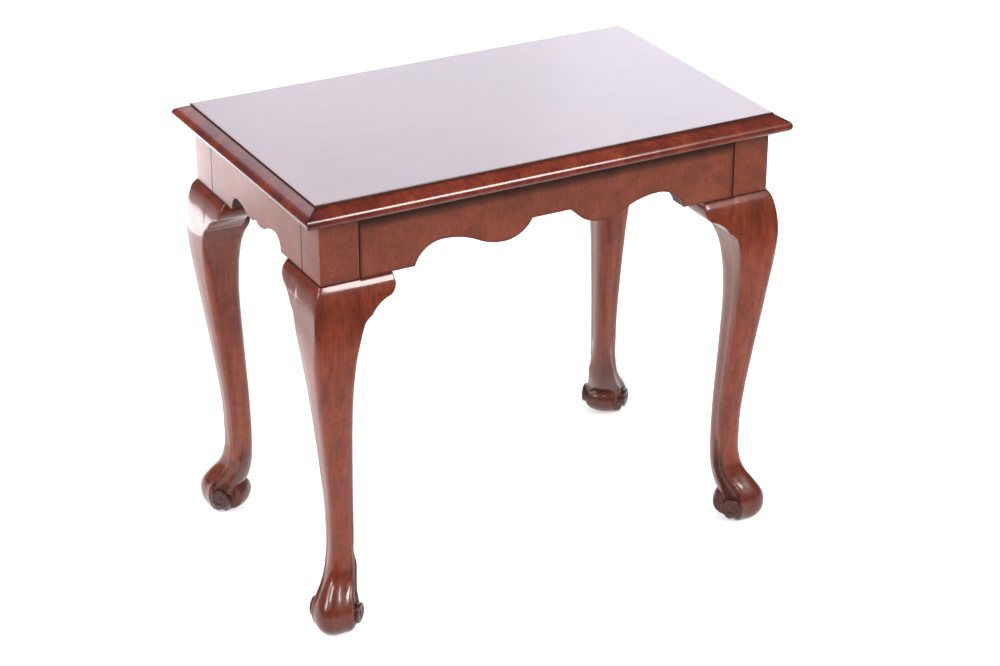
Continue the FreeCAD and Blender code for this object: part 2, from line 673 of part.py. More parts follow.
def screw(name, x, y):
    """Round-head wood screw driven up through a glue block: head below, shank above."""
    neck, head = size("screw_shank") / 2, size("screw_head") / 2
    long, cap = size("screw_length"), size("screw_head_height")
    edges = [
        rim_line((0, -cap), (0, long)),
        rim_line((0, long), (neck, long - 2 * neck)),
        rim_line((neck, long - 2 * neck), (neck, 0)),
        rim_line((neck, 0), (head, 0)),
        rim_line((head, 0), (head * 0.7, -cap)),
        rim_line((head * 0.7, -cap), (0, -cap)),
    ]
    blank = doc.addObject("Part::Feature", name + "_blank")
    blank.Shape = Part.Face(Part.Wire(edges)).revolve(Vector(0, 0, 0), UP, 360)
    bind(blank, Placement__Base__x=x, Placement__Base__y=y, Placement__Base__z=BLOCK_Z)
    slot = bound_box(name + "_slot", "sizes.screw_head", "sizes.screw_slot", "sizes.screw_head_height / 2",
                     x=x + " - sizes.screw_head / 2", y=y + " - sizes.screw_slot / 2",
                     z=BLOCK_Z + " - sizes.screw_head_height")
    return cut(name, blank, slot)


core_board = bound_box("core_board", "2 * " + PANEL_X, "2 * " + PANEL_Y, "sizes.core_thick",
                       x="-" + PANEL_X, y="-" + PANEL_Y, z=TOP_UNDER)
SCREW_REACH = "sizes.screw_length - sizes.block_side + sizes.mortise_end"
core_bores = [bore("core_bore_" + word, x, y, TOP_UNDER, SCREW_REACH) for word, x, y, lies_long in BLOCKS]
top_core = cut("top_core", core_board, joined("core_bores", core_bores))
FIELD_Z = TOP_UNDER + " + sizes.core_thick"
BAND = "sizes.band_width"
top_field = bound_box("top_field_veneer", "2 * (%s - %s)" % (PANEL_X, BAND), "2 * (%s - %s)" % (PANEL_Y, BAND),
                      "sizes.veneer_thick",
                      x="-%s + %s" % (PANEL_X, BAND), y="-%s + %s" % (PANEL_Y, BAND), z=FIELD_Z)


def turned_about(pair, swap):
    return pair[::-1] if swap else pair


def crossband(name, half_long, half_other, swap):
    """Mitred strip of crossbanding along one edge of the panel."""
    body = new_body(name)
    bind(body, Placement__Base__z=FIELD_Z)
    plan = new_sketch(body, name + "_plan", FLOOR_PLANE)
    inner_long, inner_other = half_long + " - " + BAND, "-%s + %s" % (half_other, BAND)
    corners = [
        ("-" + half_long, "-" + half_other),
        (half_long, "-" + half_other),
        (inner_long, inner_other),
        ("-(%s)" % inner_long, inner_other),
    ]
    corners = [turned_about(pair, swap) for pair in corners]
    draw(plan, corners[0], *[straight(*pair) for pair in corners[1:]])
    new_pad(body, name + "_sheet", plan, "sizes.veneer_thick")
    return body


def edge_moulding(name, half_long, half_other, plane, swap):
    """Moulding along one edge of the panel: rounded over above, undercut below, mitred ends."""
    body = new_body(name)
    place = {"Placement__Base__" + ("x" if swap else "y"): "-" + half_other}
    bind(body, Placement__Base__z=TOP_UNDER, **place)
    profile = new_sketch(body, name + "_profile", plane)
    reach, nose, high = "-sizes.mould_reach", "sizes.mould_nose", "sizes.mould_height"
    draw(profile, ("0", "0"), straight("0", high),
         through("%s * 0.555" % reach, "%s + 0.8 * (%s - %s)" % (nose, high, nose), reach, nose),
         plumb_first(reach + " + sizes.mould_heel", "0"))
    strip = new_pad(body, name + "_strip", profile, "2 * (%s + sizes.mould_reach)" % half_long)
    strip.Midplane = True
    mitres = new_sketch(body, name + "_mitres", FLOOR_PLANE, high)
    for sign in ("", "-"):
        ends = [
            (sign + "(%s - sizes.mould_reach)" % half_long, "sizes.mould_reach"),
            (sign + "(%s + 2 * sizes.mould_reach)" % half_long, "-2 * sizes.mould_reach"),
            (sign + "(%s + 2 * sizes.mould_reach)" % half_long, "sizes.mould_reach"),
        ]
        ends = [turned_about(pair, swap) for pair in ends]
        draw(mitres, ends[0], *[straight(*pair) for pair in ends[1:]])
    new_pocket(body, name + "_ends", mitres, high)
    return body


crossband_front = crossband("crossband_front", PANEL_X, PANEL_Y, False)
crossband_left = crossband("crossband_left", PANEL_Y, PANEL_X, True)
crossband_back = mirrored("crossband_back", crossband_front, ACROSS_Y)
crossband_right = mirrored("crossband_right", crossband_left, ACROSS_X)
moulding_front = edge_moulding("edge_moulding_front", PANEL_X, PANEL_Y, X_PLANE, False)
moulding_left = edge_moulding("edge_moulding_left", PANEL_Y, PANEL_X, Y_PLANE, True)
moulding_back = mirrored("edge_moulding_back", moulding_front, ACROSS_Y)
moulding_right = mirrored("edge_moulding_right", moulding_left, ACROSS_X)


# ---------------------------------------------------------------- glue blocks and their screws
blocks = []
screws = []
for word, x, y, lies_long in BLOCKS:
    length, width = ("sizes.block_length", "sizes.block_side")[:: 1 if lies_long else -1]
    name = "glue_block_" + word
    wood = bound_box(name + "_wood", length, width, "sizes.block_side",
                     x="%s - %s / 2" % (x, length), y="%s - %s / 2" % (y, width), z=BLOCK_Z)
    blocks.append(cut(name, wood, bore(name + "_bore", x, y, BLOCK_Z, "sizes.block_side")))
    screws.append(screw("screw_" + word, x, y))
glue_block_screws = doc.addObject("Part::Compound", "glue_block_screws")
glue_block_screws.Links = screws
glue_block_screws.Label = "glue_block_screws"


# ---------------------------------------------------------------- export
PIECES = [
    leg_front_left, leg_front_right, leg_back_left, leg_back_right,
    knee_bracket_front_left, knee_bracket_front_right, knee_bracket_back_left, knee_bracket_back_right,
    side_bracket_left_front, side_bracket_left_back, side_bracket_right_front, side_bracket_right_back,
    front_rail, back_rail, left_rail, right_rail,
    veneer_front, veneer_back, veneer_left, veneer_right,
    top_core, top_field, crossband_front, crossband_back, crossband_left, crossband_right,
    moulding_front, moulding_back, moulding_left, moulding_right,
    *blocks, glue_block_screws,
]
doc.recompute()
for thing in doc.Objects:
    if {"Invalid", "Error"} & set(thing.State):
        raise RuntimeError("%s did not build: %s" % (thing.Label, thing.State))
for piece in PIECES:
    if piece.Shape.isNull() or not piece.Shape.isValid():
        raise RuntimeError("%s has no valid shape" % piece.Label)
for piece in PIECES:
    piece.Shape.exportStep("parts/%s.step" % piece.Label)
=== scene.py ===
"""Small tea table in polished walnut: cabriole legs, knee brackets, shaped aprons, moulded top."""
import math

import bmesh
import bpy
import numpy as np
from bpy.props import FloatProperty, PointerProperty, StringProperty
from mathutils import Matrix, Vector, noise


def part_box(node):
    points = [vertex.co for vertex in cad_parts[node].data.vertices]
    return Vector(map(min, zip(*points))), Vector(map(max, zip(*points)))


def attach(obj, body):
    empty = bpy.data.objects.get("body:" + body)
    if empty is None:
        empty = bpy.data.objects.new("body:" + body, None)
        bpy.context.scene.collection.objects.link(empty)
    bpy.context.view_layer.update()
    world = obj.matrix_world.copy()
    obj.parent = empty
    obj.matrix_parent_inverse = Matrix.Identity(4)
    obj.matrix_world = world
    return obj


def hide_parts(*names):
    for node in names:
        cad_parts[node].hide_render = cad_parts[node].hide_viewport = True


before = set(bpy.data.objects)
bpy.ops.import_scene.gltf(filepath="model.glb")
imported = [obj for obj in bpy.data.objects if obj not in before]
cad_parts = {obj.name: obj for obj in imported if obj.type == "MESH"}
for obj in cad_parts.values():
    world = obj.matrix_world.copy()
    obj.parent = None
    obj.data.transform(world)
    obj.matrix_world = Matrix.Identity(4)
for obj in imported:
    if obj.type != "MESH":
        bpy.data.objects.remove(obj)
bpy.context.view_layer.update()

bl_info = {
    "name": "Tea Table",
    "version": (1, 0, 0),
    "blender": (4, 5, 0),
    "location": "3D View > Sidebar > Tea Table",
    "description": "Dresses a small walnut tea table and sets it in a studio",
    "category": "Object",
}

MM = 0.001
DIAGONAL = math.sqrt(2)
BODY = "root"

# Knee of a leg: depth below the frieze, then how far the wood stands proud of it (mm).
KNEE = (
    (0.0, 0.3), (0.4, 1.2), (1.5, 2.2), (3.3, 3.5), (5.2, 4.7), (7.0, 5.6),
    (12.0, 7.2), (22.0, 9.5), (33.0, 11.1), (44.0, 12.0),
)

# Shank: height as a share of the way from foot to frieze, then on the diagonal, out from the
# frieze corner: front, back, half width, roundings of front, back and side arris.
SHANK = (
    (0.827, 15.3, -53.0, 36.4, 0.12, 0.35, 2.0),
    (0.791, 14.2, -48.9, 34.0, 0.20, 0.55, 3.5),
    (0.743, 12.2, -45.8, 30.8, 0.30, 0.70, 5.0),
    (0.677, 8.6, -43.7, 27.5, 0.38, 0.80, 6.0),
    (0.587, 3.9, -43.1, 24.0, 0.42, 0.88, 6.0),
    (0.481, -2.0, -44.4, 21.1, 0.45, 0.90, 6.0),
    (0.376, -7.6, -46.3, 19.0, 0.47, 0.90, 5.5),
    (0.271, -12.8, -48.2, 17.2, 0.48, 0.90, 5.0),
    (0.165, -16.7, -49.8, 15.9, 0.50, 0.90, 4.5),
    (0.099, -17.4, -50.2, 15.6, 0.52, 0.90, 4.0),
)

# Foot: height, front, side arris (out, across), rear arris (out, across), back (mm).
FOOT = (
    (77.0, -15.8, -32.3, 15.9, -43.0, 12.6, -49.7),
    (66.0, -12.3, -30.5, 16.7, -41.5, 15.8, -48.8),
    (57.0, -6.9, -27.0, 17.6, -39.0, 16.6, -47.5),
    (49.0, 0.2, -21.5, 18.9, -35.5, 17.6, -45.5),
    (41.0, 7.0, -14.5, 20.8, -31.0, 19.3, -42.5),
    (34.0, 12.0, -10.0, 22.6, -28.0, 21.6, -38.0),
    (26.0, 14.6, -7.5, 24.4, -26.0, 23.6, -34.0),
    (17.0, 14.6, -8.0, 25.0, -26.0, 24.2, -33.0),
    (8.5, 11.8, -10.0, 23.8, -25.0, 22.6, -31.0),
    (3.0, 7.0, -11.5, 20.8, -23.0, 19.6, -29.0),
    (0.0, 2.0, -12.0, 16.6, -21.0, 15.6, -25.0),
)

# Lower edge of an apron (mm): half of the level middle, lobe, outer arch and cusp, each (along, rise),
# and where lobe turns into arch, as a share of the way between them.
LONG_APRON = ((24.0, 25.6), (57.0, 6.1), (128.0, 23.6), 160.5)
SHORT_APRON = ((0.6, 12.1), (11.5, 7.8), (48.0, 17.3), 62.8)
INFLECTION = 0.43

# Points on each of the twelve curves of a leg's section, and how dark each point of the foot's hollow
# flanks is painted: painted shade in the hollows, with some dirt; the second half of a section mirrors the first.
RING_STEPS = (10, 7, 5, 7, 4, 5, 8, 5, 4, 7, 5, 7)
HALF_DIRT_AND_SHADE = [0.0] * 17 + [0.15, 0.35, 0.55, 0.65] + [0.7] * 8 + [0.66, 0.6, 0.54, 0.48, 0.4, 0.3, 0.2, 0.1, 0.05]
FLANK_DIRT_AND_SHADE = HALF_DIRT_AND_SHADE + HALF_DIRT_AND_SHADE[-2:0:-1]

# Heel roll of a foot: centre (out, up), radius at its middle, how much less at its ends, and half
# its length. Scrolls: centre (out, up) and how far their faces stand from the diagonal (mm).
ROLL_CENTRE, ROLL_RADIUS, ROLL_TAPER, ROLL_REACH = (-26.0, 20.0), 17.4, 2.6, 15.0
SCROLL_CENTRE, SCROLL_FACE = (-18.0, 20.0), 27.7

# Mortise of a post (mm): depth from its inner side, cheeks from its outer side, and upper and
# lower end below its top.
MORTISE_DEPTH, MORTISE_CHEEKS, MORTISE_ENDS = 25.5, (6.7, 16.3), (7.7, 56.3)

# Corners of the table: their names, and the signs that mirror the front left one to them.
CORNERS = (("front", "left", 1, 1), ("front", "right", -1, 1), ("back", "left", 1, -1), ("back", "right", -1, -1))


# ---------------------------------------------------------------- sizes and colours to change
class LegSizes(bpy.types.PropertyGroup):
    """Sizes of the legs and their carving."""

    post_side: FloatProperty(name="Post side", description="Square head of a leg",
                             default=0.043, min=0.02, unit="LENGTH")
    frieze_height: FloatProperty(name="Frieze height", description="Underside of the top to the knees",
                                 default=0.0706, min=0.02, unit="LENGTH")
    scroll_radius: FloatProperty(name="Scroll radius", description="Scroll of a foot over its rim",
                                 default=0.0116, min=0.004, unit="LENGTH")
    scroll_depth: FloatProperty(name="Scroll depth", description="Depth of the carved spiral",
                                default=0.0008, min=0.0, unit="LENGTH")
    tool_waves: FloatProperty(name="Tool waves", description="Unevenness left by spokeshave and scraper",
                              default=0.00012, min=0.0, unit="LENGTH")


class TopSizes(bpy.types.PropertyGroup):
    """Sizes of the top and its edge moulding."""

    moulding_reach: FloatProperty(name="Moulding reach", description="Panel edge to nose of the moulding",
                                  default=0.0155, min=0.004, unit="LENGTH")
    moulding_height: FloatProperty(name="Moulding height", description="Moulding at its inner edge",
                                   default=0.0154, min=0.004, unit="LENGTH")
    nose_height: FloatProperty(name="Nose height", description="Nose of the moulding above the core's underside",
                               default=0.0040, min=0.001, unit="LENGTH")
    nose_radius: FloatProperty(name="Nose radius", description="Round of the moulding's nose",
                               default=0.0066, min=0.001, unit="LENGTH")
    soft_edge: FloatProperty(name="Soft edge", description="Worn round along the outer edge of the panel",
                             default=0.0009, min=0.0001, unit="LENGTH")


class WoodColours(bpy.types.PropertyGroup):
    """Colours of the polished walnut, as sRGB hex values."""

    dark: StringProperty(name="Dark figure", description="Dark streaks of the walnut", default="632511")
    middle: StringProperty(name="Walnut", description="Main colour of the polished walnut", default="782f18")
    light: StringProperty(name="Light figure", description="Light streaks of the walnut", default="8b3d20")


class StudioSettings(bpy.types.PropertyGroup):
    """Light of the studio."""

    backlight: FloatProperty(name="Back light", description="Radiance of the soft light behind the table",
                             default=3.8, min=0.0)
    key: FloatProperty(name="Key light", description="Radiance of the main soft light",
                       default=19.0, min=0.0)
    fill: FloatProperty(name="Fill", description="Soft light from all sides", default=0.7, min=0.0)
    ceiling: FloatProperty(name="Ceiling", description="Ceiling of the studio as polish mirrors it",
                           default=0.12, min=0.0)
    floor_glow: FloatProperty(name="Floor glow", description="Radiance of the lit floor behind the table",
                              default=3.8, min=0.0)
    left_fill: FloatProperty(name="Left fill", description="Radiance of the large soft light on the left",
                             default=4.0, min=0.0)


# ---------------------------------------------------------------- meshes
def finished(name, bm, cad_nodes, materials, sharp=35.0):
    """Turn a bmesh into a piece that stands for CAD nodes."""
    bmesh.ops.recalc_face_normals(bm, faces=bm.faces)
    mesh = bpy.data.meshes.new(name)
    bm.to_mesh(mesh)
    bm.free()
    return dressed(name, mesh, cad_nodes, materials, sharp)


def dressed(name, mesh, cad_nodes, materials, sharp=35.0):
    """Link a mesh as a piece, smooth it, parent it to the table's body, and hide the CAD nodes it stands for."""
    mesh.shade_smooth()
    mesh.set_sharp_from_angle(angle=math.radians(sharp))
    if not mesh.materials:
        for material in materials:
            mesh.materials.append(material)
    piece = bpy.data.objects.new(name, mesh)
    bpy.context.scene.collection.objects.link(piece)
    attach(piece, BODY)
    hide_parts(*cad_nodes)
    return piece


def skinned(bm, rings, cap_first=True, cap_last=True):
    """Skin a list of closed rings of points with quads, and cap the ends."""
    made = [[bm.verts.new(point) for point in ring] for ring in rings]
    for low, high in zip(made, made[1:]):
        for i in range(len(low)):
            j = (i + 1) % len(low)
            bm.faces.new((low[i], low[j], high[j], high[i]))
    if cap_first:
        bm.faces.new(made[0][::-1])
    if cap_last:
        bm.faces.new(made[-1])
    return made


def hermite(xs, rows, at):
    """Smooth curve through rows of values at heights xs, read at the heights in at."""
    xs, rows = np.asarray(xs), np.asarray(rows)
    steps = np.diff(xs)
    slopes = np.diff(rows, axis=0) / steps[:, None]
    inner = (slopes[:-1] * steps[1:, None] + slopes[1:] * steps[:-1, None]) / (steps[:-1] + steps[1:])[:, None]
    slopes = np.vstack([slopes[:1], inner, slopes[-1:]])
    where = np.clip(np.searchsorted(xs, at, side="right") - 1, 0, len(xs) - 2)
    run = steps[where][:, None]
    u = ((at - xs[where]) / steps[where])[:, None]
    return (rows[where] * (1 + 2 * u) * (1 - u) ** 2 + slopes[where] * run * u * (1 - u) ** 2
            + rows[where + 1] * u * u * (3 - 2 * u) + slopes[where + 1] * run * u * u * (u - 1))


def progress(value, start, stop):
    """How far a value has come on its way from start to stop, held between 0 and 1."""
    return min(1.0, max(0.0, (value - start) / (stop - start)))


def towards(a, b, distance):
    """Point at a distance from a on the line to b."""
    share = distance / math.hypot(b[0] - a[0], b[1] - a[1])
    return (a[0] + (b[0] - a[0]) * share, a[1] + (b[1] - a[1]) * share)


def bowed(a, b, swell):
    """Middle pole of a side that swells outwards, or is hollowed if negative."""
    run_x, run_y = b[0] - a[0], b[1] - a[1]
    scale = 2 * swell / math.hypot(run_x, run_y)
    return ((a[0] + b[0]) / 2 + run_y * scale, (a[1] + b[1]) / 2 - run_x * scale)


def section(front, side, rear, back, nose, heel, arris, swell, hollow):
    """Poles of the twelve plain curves of one section across a leg, two poles for each curve."""
    nose_cut = nose * math.hypot(front[0] - side[0], side[1])
    heel_cut = heel * math.hypot(rear[0] - back[0], rear[1])
    front_at = towards(front, side, nose_cut)
    side_from, side_to = towards(side, front, arris), towards(side, rear, arris)
    rear_from, rear_to = towards(rear, side, arris), towards(rear, back, arris / 2)
    back_at = towards(back, rear, heel_cut)
    half = [
        (front_at, bowed(front_at, side_from, swell), side_from),
        (side_from, side, side_to),
        (side_to, bowed(side_to, rear_from, hollow), rear_from),
        (rear_from, rear, rear_to),
        (rear_to, bowed(rear_to, back_at, 0), back_at),
    ]
    twin = [tuple((s, -t) for s, t in reversed(poles)) for poles in reversed(half)]
    curves = [(twin[-1][-1], front, front_at)] + half + [(back_at, back, twin[0][0])] + twin
    return [value for poles in curves for pole in poles[:2] for value in pole]


def knee_section(proud, post):
    """Square section of the knee, which stands proud of the frieze."""
    side = ((proud - post) / DIAGONAL, (proud + post) / DIAGONAL)
    back = (-post * DIAGONAL, 0)
    rear = ((side[0] + back[0]) / 2, side[1] / 2)
    return section((proud * DIAGONAL, 0), side, rear, back, 0.08, 0.1, 0.15, 0.0, 0.0)


def shank_section(front, back, half, nose, heel, arris):
    """Rounded section of the shank, from its front, back and half width."""
    middle = (front + back) / 2
    side = (middle, half + arris / (2 * DIAGONAL))
    tip = (front - nose / 2 * middle) / (1 - nose / 2)
    heel_tip = (back - heel / 4 * middle) / (1 - heel / 4)
    rear = ((side[0] + heel_tip) / 2 - 0.2, side[1] / 2 + 0.2)
    return section((tip, 0), side, rear, (heel_tip, 0), nose, heel, arris, 0.6, 0.3)


def foot_section(front, arris, across, rear, rear_across, back):
    """Section of the foot, with hollow flanks between its side and rear arrises."""
    nose, heel = 0.85, 0.9
    tip = (front - nose / 2 * arris) / (1 - nose / 2)
    heel_tip = (back - heel / 2 * rear) / (1 - heel / 2)
    return section((tip, 0), (arris, across), (rear, rear_across), (heel_tip, 0), nose, heel, 1.6, 1.0, -1.8)


def shank_rings(post, top):
    """Rings of a leg from the sole to the frieze, out on the diagonal and across, in mm."""
    foot_top = FOOT[0][0]
    stations = [(row[0], foot_section(*row[1:])) for row in reversed(FOOT)]
    stations += [(foot_top + row[0] * (top - foot_top), shank_section(*row[1:])) for row in reversed(SHANK)]
    stations += [(top - drop, knee_section(proud, post)) for drop, proud in reversed(KNEE)]
    heights = [height for height, poles in stations]
    longest_step = 2.6
    levels = []
    for low, high in zip(heights, heights[1:]):
        count = max(2, math.ceil((high - low) / longest_step))
        levels += [low + (high - low) * i / count for i in range(count)]
    levels = np.array(levels + [heights[-1]])
    poles = hermite(heights, [poles for height, poles in stations], levels).reshape(len(levels), 24, 2)
    rings = []
    for level, ring in zip(levels, poles):
        points = []
        for number, count in enumerate(RING_STEPS):
            a, b, c = ring[2 * number], ring[2 * number + 1], ring[(2 * number + 2) % 24]
            for i in range(count):
                u = i / count
                s, t = a * (1 - u) ** 2 + b * 2 * u * (1 - u) + c * u * u
                points.append((s, t, level))
        rings.append(points)
    return rings


def lathe_rings(profile, centre, turns=48):
    """Rings about the axis across the foot from (across, radius) pairs."""
    rings = []
    for across, radius in profile:
        ring = []
        for i in range(turns):
            angle = 2 * math.pi * i / turns
            ring.append((centre[0] + radius * math.sin(angle), across, centre[1] + radius * math.cos(angle)))
        rings.append(ring)
    return rings


def spiral_cut(reach, angle, radius):
    """Depth share of the spiral groove at a distance and an angle from the eye of a scroll."""
    start, pitch, inner, width = math.radians(75), 7.0, 4.0, 1.4
    cut = 0.0
    for lap in (-1, 0, 1, 2):
        groove = radius - pitch * ((angle - start) / (2 * math.pi) + lap)
        if groove <= radius + 0.5:
            cut = max(cut, math.exp(-((reach - max(groove, inner)) / width) ** 2))
    return cut


def scroll_rings(radius, depth, side):
    """Rings of one scroll: neck, rounded rim, and a face carved with a spiral that ends in an eye."""
    edge, eye, eye_height, turns, rows, cap = 2.5, 3.2, 0.6, 72, 18, 0.6
    neck, shoulder = radius - edge, 18.75
    profile = [(7.5, neck), (16.25, neck), (17.6, radius - 0.9), (shoulder, radius)]
    profile += [(shoulder + (SCROLL_FACE - edge - shoulder) * i / 3, radius) for i in range(1, 4)]
    rings = lathe_rings([(side * across, r) for across, r in profile], SCROLL_CENTRE, turns)
    rim = [(neck + edge * math.cos(turn), SCROLL_FACE - edge * (1 - math.sin(turn)))
           for turn in [math.pi / 2 * i / 8 for i in range(1, 9)]]
    face = [(r, SCROLL_FACE + eye_height * math.sqrt(max(0.0, 1 - (r / eye) ** 2)))
            for r in [neck * (1 - i / (rows + cap)) for i in range(1, rows + 1)]]
    for r, height in rim + face:
        ring = []
        for k in range(turns):
            angle = 2 * math.pi * k / turns
            ring.append((SCROLL_CENTRE[0] + r * math.sin(angle), side * (height - depth * spiral_cut(r, angle, radius)),
                         SCROLL_CENTRE[1] + r * math.cos(angle)))
        rings.append(ring)
    return rings


def block_rings(low, high):
    """Two rings of a plain block from its lowest to its highest corner."""
    corners = ((low[0], low[1]), (high[0], low[1]), (high[0], high[1]), (low[0], high[1]))
    return [[(x, y, z) for x, y in corners] for z in (low[2], high[2])]


def solid(name, rings, place, recess=None):
    """Temporary closed solid, used to join or to cut; recess tells how dark a point of a ring's column is painted, for
    dirt and shade.
    """
    bm = bmesh.new()
    dirt_and_shade = bm.verts.layers.float.new("recess")
    made = skinned(bm, [[place(point) for point in ring] for ring in rings])
    for ring, points in zip(made, rings):
        for column, (vertex, point) in enumerate(zip(ring, points)):
            vertex[dirt_and_shade] = recess(column, point) if recess else 0.0
    bmesh.ops.recalc_face_normals(bm, faces=bm.faces)
    mesh = bpy.data.meshes.new(name)
    bm.to_mesh(mesh)
    bm.free()
    thing = bpy.data.objects.new(name, mesh)
    bpy.context.scene.collection.objects.link(thing)
    return thing


def carved(base, steps):
    """Join solids to a base, or cut them from it, and return the plain mesh that results."""
    for operation, tool in steps:
        boolean = base.modifiers.new(operation, "BOOLEAN")
        boolean.operation = operation
        boolean.solver = "EXACT"
        boolean.object = tool
    bpy.context.view_layer.update()
    graph = bpy.context.evaluated_depsgraph_get()
    mesh = bpy.data.meshes.new_from_object(base.evaluated_get(graph))
    for thing in [base] + [tool for operation, tool in steps]:
        bpy.data.objects.remove(thing)
    return mesh


def waved(mesh, depth, below):
    """Leave the slight waves of hand tools on the carved wood, fading out below a height and at the sole."""
    for vertex in mesh.vertices:
        if vertex.co.z < below:
            strength = min(1.0, (below - vertex.co.z) / (10 * MM)) * min(1.0, vertex.co.z / (4 * MM))
            wave = noise.noise(vertex.co * 45) + 0.5 * noise.noise(vertex.co * 110)
            vertex.co += vertex.normal * wave * depth * strength


def mirrored_mesh(mesh, x_sign, y_sign):
    """Copy of a mesh mirrored into another corner of the table."""
    bm = bmesh.new()
    bm.from_mesh(mesh)
    for vertex in bm.verts:
        vertex.co = (x_sign * vertex.co.x, y_sign * vertex.co.y, vertex.co.z)
    bmesh.ops.recalc_face_normals(bm, faces=bm.faces)
    copy = bpy.data.meshes.new(mesh.name)
    bm.to_mesh(copy)
    bm.free()
    return copy


def recoloured(name, material):
    """Give a piece that the CAD model made its material, and return it."""
    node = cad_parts[name]
    node.data.materials.clear()
    node.data.materials.append(material)
    return node


def eased(node, width, angle):
    """Take the sharpness off the edges of a piece that turn by more than an angle."""
    bevel = node.modifiers.new("eased_edge", "BEVEL")
    bevel.width = width
    bevel.segments = 2
    bevel.limit_method = "ANGLE"
    bevel.angle_limit = math.radians(angle)


def level_arc(level, far, count):
    """Points of an arc that is level at one end, from that end to the other."""
    run, rise = abs(far[0] - level[0]), abs(far[1] - level[1])
    radius = (run * run + rise * rise) / (2 * rise)
    whole = math.atan2(run, radius - rise)
    points = []
    for i in range(count + 1):
        turn = whole * i / count
        points.append((level[0] + math.copysign(radius * math.sin(turn), far[0] - level[0]),
                       level[1] + math.copysign(radius * (1 - math.cos(turn)), far[1] - level[1])))
    return points


def round_arc(a, middle, b, count):
    """Points of the arc through three points, without the first."""
    ax, ay, mx, my, bx, by = *a, *middle, *b
    d = 2 * (ax * (my - by) + mx * (by - ay) + bx * (ay - my))
    sa, sm, sb = ax * ax + ay * ay, mx * mx + my * my, bx * bx + by * by
    cx = (sa * (my - by) + sm * (by - ay) + sb * (ay - my)) / d
    cy = (sa * (bx - mx) + sm * (ax - bx) + sb * (mx - ax)) / d
    radius = math.hypot(ax - cx, ay - cy)
    start, end = math.atan2(ay - cy, ax - cx), math.atan2(by - cy, bx - cx)
    sweep = (end - start + math.pi) % (2 * math.pi) - math.pi
    return [(cx + radius * math.cos(start + sweep * i / count), cy + radius * math.sin(start + sweep * i / count))
            for i in range(1, count + 1)]


def apron_edge(apron, half_run):
    """Lower edge of an apron from its middle to its end, as (along, rise) points in mm."""
    flat, lobe, arch, cusp = apron
    turn = tuple((1 - INFLECTION) * a + INFLECTION * b for a, b in zip(lobe, arch))
    points = [(0.0, flat[1]), (flat[0] * 0.5, flat[1])]
    points += level_arc(lobe, flat, 14)[::-1]
    points += level_arc(lobe, turn, 10)[1:]
    points += level_arc(arch, turn, 12)[::-1][1:]
    points += level_arc(arch, (cusp, 0.0), 18)[1:]
    points += [(cusp + (half_run - cusp) * i / 6, 0.0) for i in range(1, 7)]
    left = [(-x, z) for x, z in reversed(points[1:])]
    return left + points


# ---------------------------------------------------------------- materials
def linear(hex_colour):
    """Linear colour of an sRGB hex value."""
    parts = [int(hex_colour[i:i + 2], 16) / 255 for i in (0, 2, 4)]
    return tuple(p / 12.92 if p <= 0.04045 else ((p + 0.055) / 1.055) ** 2.4 for p in parts) + (1.0,)


def add(tree, kind, inputs=None, stops=(), **settings):
    """Add one node with its settings, fill or link its inputs, and set the stops of a colour ramp.

    A node given as an input is linked by its first output, and a list fills a socket with several links.
    """
    made = tree.nodes.new(kind)
    for name, value in settings.items():
        setattr(made, name, value)
    for key, given in (inputs or {}).items():
        for value in given if isinstance(given, list) else [given]:
            if isinstance(value, bpy.types.Node):
                value = value.outputs[0]
            if isinstance(value, bpy.types.NodeSocket):
                tree.links.new(value, made.inputs[key])
            else:
                made.inputs[key].default_value = value
    if stops:
        elements = made.color_ramp.elements
        while len(elements) < len(stops):
            elements.new(0.5)
        for element, (position, colour) in zip(elements, stops):
            element.position = position
            element.color = colour
    return made


def new_material(name):
    """Material with an empty tree, and that tree."""
    material = bpy.data.materials.new(name)
    material.use_nodes = True
    tree = material.node_tree
    tree.nodes.clear()
    return material, tree


def grey(value):
    """Neutral linear colour, for masks and for what darkens a colour under it."""
    return (value, value, value, 1.0)


def stretched(tree, along, length_mm, width_mm, seed):
    """Object coordinates scaled so that one unit is a streak of the given length and width."""
    place = add(tree, "ShaderNodeTexCoord").outputs["Object"]
    scale = [1000 / width_mm] * 3
    scale["XYZ".index(along)] = 1000 / length_mm
    return add(tree, "ShaderNodeMapping", {"Vector": place, "Location": (seed * 3.7, seed * 5.3, seed * 1.9),
                                           "Scale": tuple(scale)})


